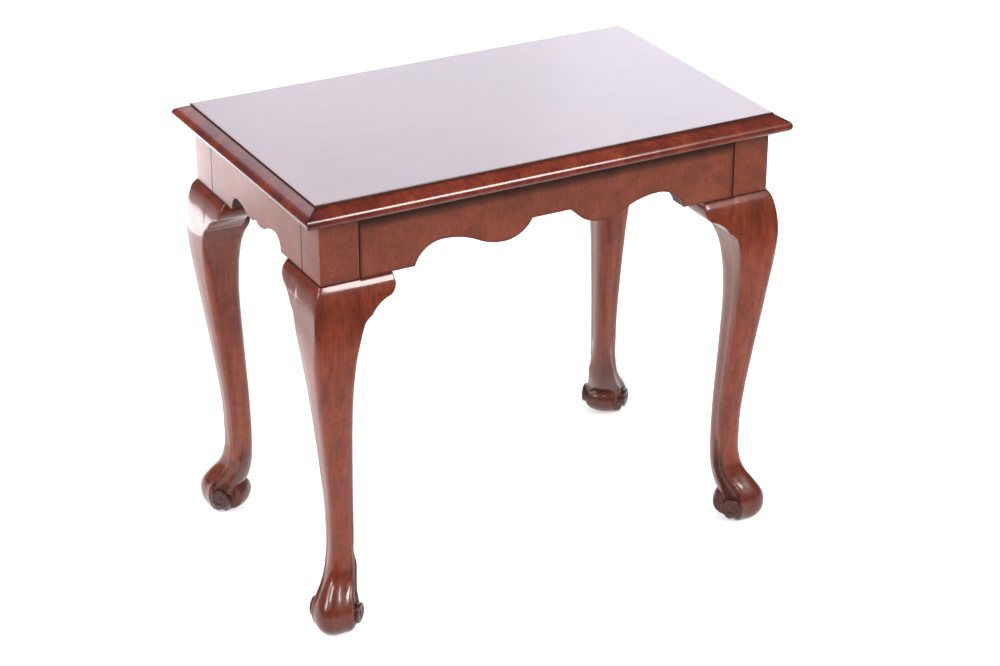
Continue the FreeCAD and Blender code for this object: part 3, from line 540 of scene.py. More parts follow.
def walnut(name, shades, along, seed, figure=(170, 20), streak=(70, 1.5), fleck=(1.5, 4.0), pores=(7, 0.55),
           mix=(0.5, 0.3, 0.2), roughness=0.34, uneven=0.03, coat=0.3, coat_roughness=0.12, wave_mm=0.05,
           dust_and_shade=None, pore_depth=0.35, mark_level=0.8):
    """Hand-polished walnut: clouded figure, fine streaks, small flecks across the grain and open pores.

    Figure, streak, fleck and pores are lengths along and across the grain in mm. The polish lies on it
    as a thin coat that follows the slow waves left by the plane, so its shine is never quite flat.
    """
    material, tree = new_material(name)
    tone = streaks = None
    layers = ((figure, 0.6, 3.0), (streak, 0.0, 3.0), (fleck, 0.4, 2.0))
    for number, ((size, distortion, detail), share) in enumerate(zip(layers, mix)):
        grain = add(tree, "ShaderNodeTexNoise", {"Vector": stretched(tree, along, *size, seed + number), "Scale": 1.0,
                                                 "Detail": detail, "Roughness": 0.55, "Distortion": distortion})
        tone = add(tree, "ShaderNodeMath", {0: grain, 1: share, 2: tone or 0.0}, operation="MULTIPLY_ADD")
        streaks = streaks if number == 2 else grain
    dark, middle, light = (linear(shade) for shade in shades)
    colour = add(tree, "ShaderNodeValToRGB", {"Fac": tone}, [(0.38, dark), (0.5, middle), (0.63, light)])
    pore_noise = add(tree, "ShaderNodeTexNoise", {"Vector": stretched(tree, along, *pores, seed + 4), "Scale": 1.0,
                                                  "Detail": 1.0, "Roughness": 0.4})
    open_pores = add(tree, "ShaderNodeValToRGB", {"Fac": pore_noise}, [(0.62, grey(0.0)), (0.74, grey(1.0))])
    place = add(tree, "ShaderNodeTexCoord").outputs["Object"]
    marks = add(tree, "ShaderNodeTexNoise", {"Vector": place, "Scale": 300.0, "Detail": 0.0})
    marks = add(tree, "ShaderNodeValToRGB", {"Fac": marks},
                [(mark_level, grey(0.0)), (mark_level + 0.04, grey(1.0))])
    darker = add(tree, "ShaderNodeMix", {"Factor": open_pores, "A": grey(1.0), "B": grey(1 - pore_depth)},
                 data_type="RGBA")
    darker = add(tree, "ShaderNodeMix", {"Factor": marks, "A": darker.outputs["Result"], "B": grey(0.4)},
                 data_type="RGBA").outputs["Result"]
    # Pores and marks darken the colour, and so does a piece's painted shade and dust where it has them.
    for layer in (darker, dust_and_shade(tree) if dust_and_shade else None):
        if layer:
            colour = add(tree, "ShaderNodeMix", {"Factor": 1.0, "A": colour, "B": layer},
                         data_type="RGBA", blend_type="MULTIPLY").outputs["Result"]
    waves = add(tree, "ShaderNodeTexNoise", {"Vector": stretched(tree, along, 60, 28, seed + 3), "Scale": 1.0,
                                             "Detail": 1.0})
    gloss = add(tree, "ShaderNodeMapRange", {"Value": streaks, "From Min": 0.3, "From Max": 0.7,
                                             "To Min": roughness - uneven, "To Max": roughness + uneven})
    slow = add(tree, "ShaderNodeBump", {"Height": waves, "Distance": wave_mm * MM, "Strength": 1.0})
    fine = add(tree, "ShaderNodeBump", {"Height": open_pores, "Distance": 0.03 * MM, "Strength": 0.5, "Normal": slow},
               invert=True)
    surface = add(tree, "ShaderNodeBsdfPrincipled", {
        "Base Color": colour, "Roughness": gloss, "IOR": 1.5, "Specular IOR Level": 0.4, "Coat Weight": coat,
        "Coat Roughness": coat_roughness, "Coat IOR": 1.5, "Normal": fine, "Coat Normal": slow})
    add(tree, "ShaderNodeOutputMaterial", {"Surface": surface})
    return material


def edge_dust_and_shade(tree):
    """Painted shadow under the moulding, darkest there, lighter painted shade along the lower edge of an apron, and
    darker joints, partly old polish and dust and partly painted shade.
    """
    near = add(tree, "ShaderNodeAttribute", attribute_name="edge_tone").outputs["Fac"]
    return add(tree, "ShaderNodeValToRGB", {"Fac": near},
               [(0.0, grey(0.24)), (0.3, grey(0.3)), (0.65, grey(0.58)), (1.0, grey(1.0))])


def recess_dust_and_shade(tree):
    """Painted shade with some dirt and old polish, in the carving, under the frieze and along joints."""
    deep = add(tree, "ShaderNodeAttribute", attribute_name="recess").outputs["Fac"]
    return add(tree, "ShaderNodeValToRGB", {"Fac": deep},
               [(0.0, grey(1.0)), (0.5, linear("9a8580")), (1.0, linear("54423f"))])


def carcass_wood(name, tone, along, seed):
    """Sawn beech inside the table: matt and faintly streaked, because it was never polished."""
    material, tree = new_material(name)
    streaks = add(tree, "ShaderNodeTexNoise", {"Vector": stretched(tree, along, 90, 2.4, seed), "Scale": 1.0,
                                               "Detail": 3.0, "Roughness": 0.6})
    colour = add(tree, "ShaderNodeValToRGB", {"Fac": streaks},
                 [(0.3, linear(tone[0])), (0.7, linear(tone[1]))])
    bump = add(tree, "ShaderNodeBump", {"Height": streaks, "Distance": 0.1 * MM, "Strength": 0.7})
    surface = add(tree, "ShaderNodeBsdfPrincipled",
                  {"Base Color": colour, "Roughness": 0.75, "IOR": 1.5, "Normal": bump})
    add(tree, "ShaderNodeOutputMaterial", {"Surface": surface})
    return material


def drawn_steel(name):
    """Drawn steel screws, dulled by age: grey metal with browned patches."""
    material, tree = new_material(name)
    place = add(tree, "ShaderNodeTexCoord").outputs["Object"]
    patches = add(tree, "ShaderNodeTexNoise", {"Vector": place, "Scale": 900.0, "Detail": 2.0})
    colour = add(tree, "ShaderNodeValToRGB", {"Fac": patches},
                 [(0.4, linear("8f8a84")), (0.65, linear("5f5046"))])
    rough = add(tree, "ShaderNodeMapRange", {"Value": patches, "To Min": 0.3, "To Max": 0.6})
    surface = add(tree, "ShaderNodeBsdfPrincipled", {"Base Color": colour, "Metallic": 1.0, "Roughness": rough})
    add(tree, "ShaderNodeOutputMaterial", {"Surface": surface})
    return material


# ---------------------------------------------------------------- pieces
# Walnut carved and polished: a soft broad figure under a thick, glossy polish.
CARVED = {"figure": (60, 16), "streak": (80, 2.6), "fleck": (5, 9), "pores": (6, 0.6), "mix": (0.42, 0.36, 0.22),
          "roughness": 0.32, "coat": 0.7, "coat_roughness": 0.08, "pore_depth": 0.2}
# Walnut carved across its end grain and waxed: plainer and softer in its shine, and a little darker, partly as end
# grain and partly as painted shade on the scrolls and roll.
WAXED = dict(CARVED, mix=(0.7, 0.05, 0.25), roughness=0.42, coat=0.45, coat_roughness=0.14, pore_depth=0.1)
WAXED_SHADES = ("602511", "6a2a14", "732f18")
# Walnut planed flat: short upright streaks with open pores under a thin, satin polish.
PLANED = {"figure": (30, 40), "streak": (11, 1.0), "fleck": (2.6, 5.0), "pores": (3, 0.6), "mix": (0.4, 0.34, 0.26),
          "roughness": 0.42, "coat": 0.25, "coat_roughness": 0.16, "pore_depth": 0.25}
VENEER_SHADES = ("623020", "743726", "83432f")


class TEATABLE_OT_legs(bpy.types.Operator):
    """Carve the four cabriole legs with their square heads and scroll feet."""

    bl_idname = "tea_table.legs"
    bl_label = "Cabriole Legs"

    def execute(self, context):
        sizes = context.scene.tea_table_legs
        post = sizes.post_side / MM
        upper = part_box("leg_front_left")[1].z / MM
        top = upper - sizes.frieze_height / MM
        radius, depth = sizes.scroll_radius / MM, sizes.scroll_depth / MM
        corner_x, corner_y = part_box("frieze_veneer_left")[0].x / MM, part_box("frieze_veneer_front")[0].y / MM

        def corner(point):
            """Place of a point that is given out on the leg's diagonal, across it and up."""
            s, t, z = point
            return Vector((corner_x - (s - t) / DIAGONAL, corner_y - (s + t) / DIAGONAL, z)) * MM

        def plain(point):
            """Place of a point that is given in the table's own directions."""
            return Vector(point) * MM

        def shank_dirt_and_shade(column, point):
            """Painted shade with some dirt in the hollow flanks, behind the scrolls and in the line under the frieze;
            the foot a little darker, and darker towards the knee.
            """
            s, z = point[0], point[2]
            return max(0.7 * FLANK_DIRT_AND_SHADE[column] * progress(z, 104.0, 64.0),
                       0.7 * progress(z, 46.0, 32.0) if s < -8.0 else 0.0,
                       0.28 * progress(z, 72.0, 67.0),
                       0.2 * progress(z, top - 70.0, top - 30.0),
                       0.9 * progress(z, top - 0.7, top - 0.2))

        def scroll_dirt_and_shade(column, point):
            """Painted shade with some dirt on a scroll: a little over its face, more in its spiral and most behind its
            rim.
            """
            s, t, z = point
            out, up = s - SCROLL_CENTRE[0], z - SCROLL_CENTRE[1]
            cut = spiral_cut(math.hypot(out, up), math.atan2(out, up), radius)
            return 0.28 + 0.6 * cut if abs(t) > 18.0 else 0.9

        def carving_at(place):
            """Tell whether a place lies on the face of a scroll, on the heel roll, or on neither."""
            x, y, z = place / MM
            s, t = (corner_x - x + corner_y - y) * DIAGONAL / 2, (corner_y - y - corner_x + x) * DIAGONAL / 2
            if abs(t) > 17.0 and math.hypot(s - SCROLL_CENTRE[0], z - SCROLL_CENTRE[1]) < radius + 1.6:
                return "scroll"
            on_roll = s < -14.0 and math.hypot(s - ROLL_CENTRE[0], z - ROLL_CENTRE[1]) < ROLL_RADIUS + 0.4
            return "roll" if on_roll else ""

        roll = [(ROLL_REACH * i / 6, ROLL_RADIUS - ROLL_TAPER * (i / 6) ** 2) for i in range(-6, 7)]
        # Square head with a worn outer arris, lapping into the shank (mm).
        worn, lap = 1.0, 1.0
        outline = [(post, 0.0), (post, post), (0.0, post)]
        outline += [(worn * (1 - math.sin(turn)), worn * (1 - math.cos(turn)))
                    for turn in [math.pi / 2 * (6 - i) / 6 for i in range(7)]]
        head = [[(corner_x + x, corner_y + y, top - lap + (upper - top + lap) * i / 6) for x, y in outline]
                for i in range(7)]
        shank = solid("shank", shank_rings(post, top), corner, shank_dirt_and_shade)
        steps = [("UNION", solid("roll", lathe_rings(roll, ROLL_CENTRE), corner))]
        steps += [("UNION", solid("scroll", scroll_rings(radius, depth, side), corner, scroll_dirt_and_shade))
                  for side in (1, -1)]
        steps += [("UNION", solid("head", head, plain))]
        deep, out = post - MORTISE_DEPTH, post + 1.0
        near, far = MORTISE_CHEEKS
        for x0, x1, y0, y1 in ((deep, out, near, far), (near, far, deep, out)):
            block = block_rings((corner_x + x0, corner_y + y0, upper - MORTISE_ENDS[1]),
                                (corner_x + x1, corner_y + y1, upper - MORTISE_ENDS[0]))
            steps.append(("DIFFERENCE", solid("mortise", block, plain)))
        mesh = carved(shank, steps)
        waved(mesh, sizes.tool_waves, top * MM)
        # Painted shade with some dirt on the heel roll, darkest along its top where it meets the ankle; scroll faces
        # keep at least a little.
        for vertex, recess in zip(mesh.vertices, mesh.attributes["recess"].data):
            carving = carving_at(vertex.co)
            if carving == "roll":
                recess.value = 0.3 if vertex.co.z < 34 * MM else 0.5
            elif carving:
                recess.value = max(recess.value, 0.28)
        for polygon in mesh.polygons:
            above = polygon.center.z > (top + 0.2) * MM
            polygon.material_index = 1 if above else 2 if carving_at(polygon.center) else 0
        colours = context.scene.tea_table_wood
        woods = [walnut("walnut_leg_carved_polished", (colours.dark, colours.middle, colours.light), "Z", 1.0,
                        dust_and_shade=recess_dust_and_shade, **CARVED),
                 walnut("walnut_post_planed_polished", VENEER_SHADES, "Z", 2.0, **PLANED),
                 walnut("walnut_scroll_carved_waxed", WAXED_SHADES, "Z", 3.0, dust_and_shade=recess_dust_and_shade, **WAXED)]
        for end, hand, x_sign, y_sign in CORNERS:
            name = f"{end}_{hand}"
            copy = mirrored_mesh(mesh, x_sign, y_sign)
            dressed("cabriole_leg_" + name, copy, ["leg_" + name], woods, 32)
        return {"FINISHED"}


class TEATABLE_OT_brackets(bpy.types.Operator):
    """Shape the eight knee brackets beside the legs."""

    bl_idname = "tea_table.brackets"
    bl_label = "Knee Brackets"

    def execute(self, context):
        colours = context.scene.tea_table_wood
        low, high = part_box("knee_bracket_front_left")
        corner_x, corner_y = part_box("frieze_veneer_left")[0].x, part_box("frieze_veneer_front")[0].y
        wood = walnut("walnut_bracket_carved_polished", (colours.dark, colours.middle, colours.light), "Z", 1.0,
                      dust_and_shade=recess_dust_and_shade, **CARVED)
        # Outer edge, along the rail and up from the frieze (mm): a short drop, two arcs and the toe.
        edge = [(37.5, 0.0), (37.5, -0.4), (37.55, -2.5), (37.65, -5.0)]
        edge += round_arc((37.65, -5.0), (37.8, -13.4), (31.5, -21.6), 16)
        edge += round_arc((31.5, -21.6), (20.0, -27.0), (10.5, -36.4), 18)
        edge += [(9.6, -38.2)]
        edge += round_arc((9.6, -38.2), (4.0, -42.4), (0.0, -46.4), 10)
        run = np.gradient(np.array(edge), axis=0)
        run /= np.hypot(run[:, 0], run[:, 1])[:, None]
        inward = np.stack([run[:, 1], -run[:, 0]], axis=1)
        inward[0] = (-1.0, 0.0)
        drops, prouds = [row[0] for row in KNEE], [[row[1]] for row in KNEE]
        deepest = drops[-1]

        def proud(z):
            """How far the face stands proud of the frieze at a height; it follows the knee."""
            ledge = hermite(drops, prouds, np.array([min(max(-z, 0.0), deepest)]))[0][0]
            return float(ledge) + max(0.0, -z - deepest) * 0.05

        back, steps = 32.0, 6
        rings = []
        for (x, z), (nx, nz) in zip(edge, inward):
            soft = min(1.6, 0.6 * x + 0.02)
            inner_x, inner_z = max(x + nx * soft, 0.0), min(z + nz * soft, 0.0)
            ring = [(0.0, back, inner_z)]
            ring += [(inner_x * i / steps, -proud(inner_z), inner_z) for i in range(steps + 1)]
            for turn in [math.pi / 2 * i / steps for i in range(1, steps + 1)]:
                out_x = inner_x + (x - inner_x) * math.sin(turn)
                out_z = inner_z + (z - inner_z) * math.sin(turn)
                ring.append((out_x, -proud(out_z) + soft * (1 - math.cos(turn)), out_z))
            rings.append(ring + [(x, back, z)])
        # A bracket starts this much nearer to the leg than its CAD node, which closes the glue line.
        glue_line = 0.65 * MM
        left = low.x - glue_line
        for on_side in (False, True):
            for end, hand, x_sign, y_sign in CORNERS:
                bm = bmesh.new()
                dirt_and_shade = bm.verts.layers.float.new("recess")
                placed = []
                for ring in rings:
                    line = []
                    for x, y, z in ring:
                        place = Vector((left + x * MM, corner_y + y * MM, high.z + z * MM))
                        if on_side:
                            place = Vector((corner_x + place.y - corner_y, corner_y + place.x - corner_x, place.z))
                        line.append((x_sign * place.x, y_sign * place.y, place.z))
                    placed.append(line)
                # Darker towards the knee, and a dark line under the frieze, partly dirt and partly painted shade.
                for made, ring in zip(skinned(bm, placed), rings):
                    for vertex, (x, y, z) in zip(made, ring):
                        vertex[dirt_and_shade] = max(0.2 * progress(z, -70.0, -30.0), progress(z, -0.7, -0.2))
                bmesh.ops.remove_doubles(bm, verts=bm.verts, dist=0.01 * MM)
                name = f"side_bracket_{hand}_{end}" if on_side else f"knee_bracket_{end}_{hand}"
                finished("carved_" + name, bm, [name], [wood], 40)
        return {"FINISHED"}


class TEATABLE_OT_frieze(bpy.types.Operator):
    """Lay the frieze veneers with their shaped lower edges, and finish the rails behind them."""

    bl_idname = "tea_table.frieze"
    bl_label = "Frieze and Rails"

    def execute(self, context):
        wood = walnut("walnut_veneer_planed_polished", VENEER_SHADES, "Z", 4.0, dust_and_shade=edge_dust_and_shade, **PLANED)
        # The rails behind are stained dark and unpolished, so they stay dull under the aprons.
        for word, along, seed in (("long", "X", 5.0), ("short", "Y", 6.0)):
            material = walnut("walnut_rail_" + word, ("2b1710", "4a2c20", "5e3b2b"), along, seed,
                              roughness=0.6, coat=0.0)
            for name in ("front_rail", "back_rail") if word == "long" else ("left_rail", "right_rail"):
                recoloured(name, material)
        for word, apron, axis in (("front", LONG_APRON, 0), ("back", LONG_APRON, 0),
                                  ("left", SHORT_APRON, 1), ("right", SHORT_APRON, 1)):
            low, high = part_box("frieze_veneer_" + word)
            outline = np.array(apron_edge(apron, (high[axis] - low[axis]) / 2 / MM))
            self.lay(word, outline, axis, low, high, wood)
        return {"FINISHED"}

    def lay(self, word, outline, axis, low, high, wood):
        """One veneer whose points carry painted shade under the moulding and at the lower edge, and dust and shade at
        the joints.
        """
        height = (high.z - low.z) / MM
        longest_step = 2.2
        fine = []
        for (x0, z0), (x1, z1) in zip(outline, outline[1:]):
            count = max(1, int(abs(x1 - x0) / longest_step))
            fine += [(x0 + (x1 - x0) * i / count, z0 + (z1 - z0) * i / count) for i in range(count)]
        fine.append(tuple(outline[-1]))
        # Rows of points that follow the lower edge below, and rows that lie level under the top.
        lifts = (0.0, 0.5, 1.2, 2.2, 3.5, 5.0, 7.0, 10.0, 14.0, 20.0)
        drops = (22.0, 20.0, 17.5, 15.0, 13.0, 11.0, 9.0, 7.0, 4.0, 0.0)
        points = np.array([[(x, level) for level in sorted([z + lift * (height - z - 22.5) / 20.5 for lift in lifts]
                                                           + [height - drop for drop in drops])]
                           for x, z in fine])
        flat = points.reshape(-1, 2)
        line = np.array(fine)
        start, run = line[:-1], np.diff(line, axis=0)
        share = np.clip(((flat[:, None] - start) * run).sum(2) / (run * run).sum(1), 0, 1)
        gap = np.hypot(*np.moveaxis(flat[:, None] - start - share[..., None] * run, 2, 0)).min(1)
        side_gap, top_gap = fine[-1][0] - np.abs(flat[:, 0]), height - flat[:, 1]
        # Painted shade: a little darker near the lower edge, darker at the joints, and a painted shadow under the
        # moulding from where the frieze comes into view.
        shade = np.minimum(0.75 + gap / 12.0, 0.3 + side_gap / 5.0)
        shade = np.clip(np.minimum(shade, (top_gap - 7.0) / 13.0), 0, 1).reshape(points.shape[:2])
        face, inner = low[1 - axis], high[1 - axis]
        if word in ("back", "right"):
            face, inner = inner, face
        bm = bmesh.new()
        layer = bm.verts.layers.float.new("edge_tone")
        sheets = []
        for depth in (face, inner):
            sheet = []
            for column, tones in zip(points, shade):
                made = []
                for (x, z), tone in zip(column, tones):
                    place = [0.0, 0.0, low.z + z * MM]
                    place[axis], place[1 - axis] = x * MM, depth
                    vertex = bm.verts.new(place)
                    vertex[layer] = tone
                    made.append(vertex)
                sheet.append(made)
            sheets.append(sheet)
            for a, b in zip(sheet, sheet[1:]):
                for i in range(len(a) - 1):
                    bm.faces.new((a[i], b[i], b[i + 1], a[i + 1]))
        borders = [[sheet[end] for sheet in sheets] for end in (0, -1)]
        borders += [[[column[end] for column in sheet] for sheet in sheets] for end in (0, -1)]
        for outer, hidden in borders:
            for i in range(len(outer) - 1):
                bm.faces.new((outer[i], outer[i + 1], hidden[i + 1], hidden[i]))
        finished("shaped_veneer_" + word, bm, ["frieze_veneer_" + word], [wood], 30)


class TEATABLE_OT_top(bpy.types.Operator):
    """Finish the raised panel: board, figured field and mitred crossbanding."""

    bl_idname = "tea_table.top"
    bl_label = "Panel of the Top"

    def execute(self, context):
        soft = context.scene.tea_table_top.soft_edge / MM
        # Veneer scraped flat under an even polish: a broad, quiet figure and a soft mirror.
        shades = ("532e28", "5a332b", "623830")
        looks = dict(fleck=(14, 22), mix=(0.55, 0.2, 0.25), roughness=0.24, uneven=0.01, coat=0.25,
                     coat_roughness=0.2, pore_depth=0.06, mark_level=0.83)
        banding = dict(looks, figure=(90, 90), streak=(60, 5.0), dust_and_shade=recess_dust_and_shade)
        field = walnut("walnut_field_scraped_polished", shades, "X", 7.0, figure=(160, 90), streak=(240, 5.0),
                       wave_mm=0.1, **looks)
        band_x = walnut("walnut_band_ends", shades, "X", 8.0, **banding)
        band_y = walnut("walnut_band_sides", shades, "Y", 9.0, **banding)
        # A darker board under the veneers; its edge shows as the dark line in the step above the moulding.
        core = walnut("walnut_core_dark", ("3a1c14", "4a2419", "5a3022"), "X", 10.0, roughness=0.5, coat=0.1)
        recoloured("top_field_veneer", field)
        eased(recoloured("top_core", core), 0.3 * MM, 40)
        low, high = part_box("top_field_veneer")
        inner_x, inner_y = high.x / MM, high.y / MM
        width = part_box("crossband_right")[1].x / MM - inner_x
        under, upper = low.z / MM, high.z / MM
        # Section of a strip from the joint outwards (mm): out, up, and how dark it is, at the joint and round the outer
        # edge.
        profile = [(0.0, under, 1.0), (0.0, upper, 0.6), (0.35, upper, 0.0), (width - 4.0, upper, 0.0)]
        profile += [(width - soft * (1 - math.sin(math.pi / 2 * i / 6)),
                     upper - soft * (1 - math.cos(math.pi / 2 * i / 6)), 0.12 * i) for i in range(7)]
        profile += [(width, under, 0.4)]
        for word, along_x, sign in (("front", True, -1), ("back", True, 1), ("left", False, -1), ("right", False, 1)):
            bm = bmesh.new()
            dirt_and_shade = bm.verts.layers.float.new("recess")
            start, across = (inner_x, inner_y) if along_x else (inner_y, inner_x)
            rings = []
            for share in [-1 + i / 8 for i in range(17)]:
                ring = [(share * (start + out), sign * (across + out), z) for out, z, dust_and_shade in profile]
                rings.append([Vector((a, b, z) if along_x else (b, a, z)) * MM for a, b, z in ring])
            for ring in skinned(bm, rings):
                for vertex, (out, z, dust_and_shade) in zip(ring, profile):
                    vertex[dirt_and_shade] = dust_and_shade
            finished("laid_crossband_" + word, bm, ["crossband_" + word],
                     [band_y if along_x else band_x], 30)
        return {"FINISHED"}


def new_tree(name, sizes, material):
    """Geometry-nodes tree with named inputs for its sizes and its material, and those inputs by name."""
    tree = bpy.data.node_groups.new(name, "GeometryNodeTree")
    tree.is_modifier = True
    for size in sizes:
        tree.interface.new_socket(size, in_out="INPUT", socket_type="NodeSocketFloat")
    tree.interface.new_socket(material, in_out="INPUT", socket_type="NodeSocketMaterial")
    tree.interface.new_socket("Geometry", in_out="OUTPUT", socket_type="NodeSocketGeometry")
    given = add(tree, "NodeGroupInput").outputs
    return tree, {key: given[key] for key in (*sizes, material)}


def moulding_tree():
    """Geometry nodes: a rounded profile swept along one edge of the panel, with mitred ends."""
    tree, known = new_tree("edge_moulding", ("Half Length", "Reach", "Height", "Nose Height", "Nose Radius"), "Wood")
    for name, operation, *terms in (
            ("shoulder out", "MULTIPLY_ADD", "Nose Radius", -0.5, "Reach"),
            ("shoulder up", "MULTIPLY_ADD", "Nose Radius", 0.866, "Nose Height"),
            ("both heights", "ADD", "Height", "shoulder up"),
            ("mean height", "MULTIPLY", "both heights", 0.5),
            ("slope out", "MULTIPLY", "shoulder out", 0.51),
            ("slope up", "MULTIPLY_ADD", "shoulder out", 0.021, "mean height"),
            ("foot out", "MULTIPLY_ADD", "Nose Radius", -0.577, "Reach"),
            ("under", "MULTIPLY_ADD", "Nose Radius", -0.906, "Nose Height"),
            ("far end", "MULTIPLY", "Half Length", -1.0)):
        known[name] = add(tree, "ShaderNodeMath", {i: known.get(term, term) for i, term in enumerate(terms)},
                          operation=operation)
    for name, x, y in (("inner high", 0.0, "Height"), ("inner low", 0.0, "under"), ("slope", "slope out", "slope up"),
                       ("shoulder", "shoulder out", "shoulder up"), ("tip", "Reach", "Nose Height"),
                       ("foot", "foot out", "under"), ("start", "far end", 0.0), ("end", "Half Length", 0.0)):
        known[name] = add(tree, "ShaderNodeCombineXYZ", {"X": known.get(x, x), "Y": known.get(y, y)})
    inside = add(tree, "GeometryNodeCurvePrimitiveLine", {"Start": known["inner low"], "End": known["inner high"]})
    ogee = add(tree, "GeometryNodeCurveArc", {"Resolution": 12, "Start": known["inner high"],
                                              "Middle": known["slope"], "End": known["shoulder"]}, mode="POINTS")
    nose = add(tree, "GeometryNodeCurveArc", {"Resolution": 26, "Start": known["shoulder"],
                                              "Middle": known["tip"], "End": known["foot"]}, mode="POINTS")
    below = add(tree, "GeometryNodeCurvePrimitiveLine", {"Start": known["foot"], "End": known["inner low"]})
    joined = add(tree, "GeometryNodeJoinGeometry", {0: [inside, ogee, nose, below]})
    wire = add(tree, "GeometryNodeCurveToMesh", {"Curve": joined})
    closed = add(tree, "GeometryNodeMergeByDistance", {"Geometry": wire, "Distance": 0.02 * MM})
    profile = add(tree, "GeometryNodeMeshToCurve", {"Mesh": closed})
    path = add(tree, "GeometryNodeCurvePrimitiveLine", {"Start": known["start"], "End": known["end"]})
    path = add(tree, "GeometryNodeResampleCurve", {"Curve": path, "Count": 121})
    swept = add(tree, "GeometryNodeCurveToMesh", {"Curve": path, "Profile Curve": profile, "Fill Caps": True})
    # Each point moves along by its share of the half length times how far out it lies: the mitre.
    seen = add(tree, "ShaderNodeSeparateXYZ", {0: add(tree, "GeometryNodeInputPosition")}).outputs
    along = add(tree, "ShaderNodeMath", {0: seen["X"], 1: known["Half Length"]}, operation="DIVIDE")
    out = add(tree, "ShaderNodeMath", {0: seen["Y"]}, operation="ABSOLUTE")
    mitre = add(tree, "ShaderNodeMath", {0: along, 1: out}, operation="MULTIPLY")
    ends = add(tree, "GeometryNodeSetPosition",
               {"Geometry": swept, "Offset": add(tree, "ShaderNodeCombineXYZ", {"X": mitre})})
    whole = add(tree, "GeometryNodeRealizeInstances", {"Geometry": ends})
    finish = add(tree, "GeometryNodeSetMaterial", {"Geometry": whole, "Material": known["Wood"]})
    add(tree, "NodeGroupOutput", {"Geometry": finish})
    return tree


def grown(name, tree, inputs):
    """Plain mesh that a geometry-nodes tree makes from named inputs."""
    holder = bpy.data.objects.new(name, bpy.data.meshes.new(name))
    bpy.context.scene.collection.objects.link(holder)
    modifier = holder.modifiers.new(name, "NODES")
    modifier.node_group = tree
    for item in tree.interface.items_tree:
        if item.in_out == "INPUT" and item.name in inputs:
            modifier[item.identifier] = inputs[item.name]
    bpy.context.view_layer.update()
    graph = bpy.context.evaluated_depsgraph_get()
    mesh = bpy.data.meshes.new_from_object(holder.evaluated_get(graph))
    bpy.data.objects.remove(holder)
    return mesh


class TEATABLE_OT_moulding(bpy.types.Operator):
    """Run the cross-grained moulding round the panel, mitred at the corners."""

    bl_idname = "tea_table.moulding"
    bl_label = "Edge Moulding"

    def execute(self, context):
        sizes = context.scene.tea_table_top
        tree = moulding_tree()
        # Cross-grained walnut under a thick polish: redder and darker, with a bright line on its nose.
        shades = ("4a130b", "63200f", "7d331b")
        looks = dict(figure=(60, 34), streak=(30, 1.6), fleck=(12, 8), pores=(6, 0.8), mix=(0.45, 0.35, 0.2),
                     roughness=0.3, coat=0.8, coat_roughness=0.08, dust_and_shade=recess_dust_and_shade)
        across_y = walnut("walnut_moulding_front", shades, "Y", 11.0, **looks)
        across_x = walnut("walnut_moulding_sides", shades, "X", 12.0, **looks)
        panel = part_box("top_core")[1]
        for word, wood, quarter in (("front", across_y, 2), ("right", across_x, 3),
                                    ("back", across_y, 0), ("left", across_x, 1)):
            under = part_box("edge_moulding_" + word)[0].z
            half_long, half_other = (panel.x, panel.y) if quarter % 2 == 0 else (panel.y, panel.x)
            mesh = grown("moulding", tree, {
                "Half Length": half_long, "Reach": sizes.moulding_reach, "Height": sizes.moulding_height,
                "Nose Height": sizes.nose_height, "Nose Radius": sizes.nose_radius, "Wood": wood})
            bm = bmesh.new()
            bm.from_mesh(mesh)
            dirt_and_shade = bm.verts.layers.float.new("recess")
            turn = Matrix.Rotation(math.radians(90 * quarter), 4, "Z")
            # Darker along the inner edge by the panel, painted shade with some dirt; darker towards the mitres, where
            # the corners are worn; and painted shade on the low part that meets the frieze.
            for vertex in bm.verts:
                x, y, z = vertex.co
                inner = progress(y, -3.0 * MM, 0.0)
                mitre = progress(abs(x), half_long - y - 6.0 * MM, half_long - y)
                below = 0.5 if z > 1.0 * MM else 0.0
                vertex[dirt_and_shade] = min(1.0, 0.3 * inner ** 2 + 0.5 * mitre + below)
                vertex.co = turn @ Vector((x, half_other - y, under - z))
            finished("mitred_moulding_" + word, bm, ["edge_moulding_" + word], [wood], 30)
        return {"FINISHED"}


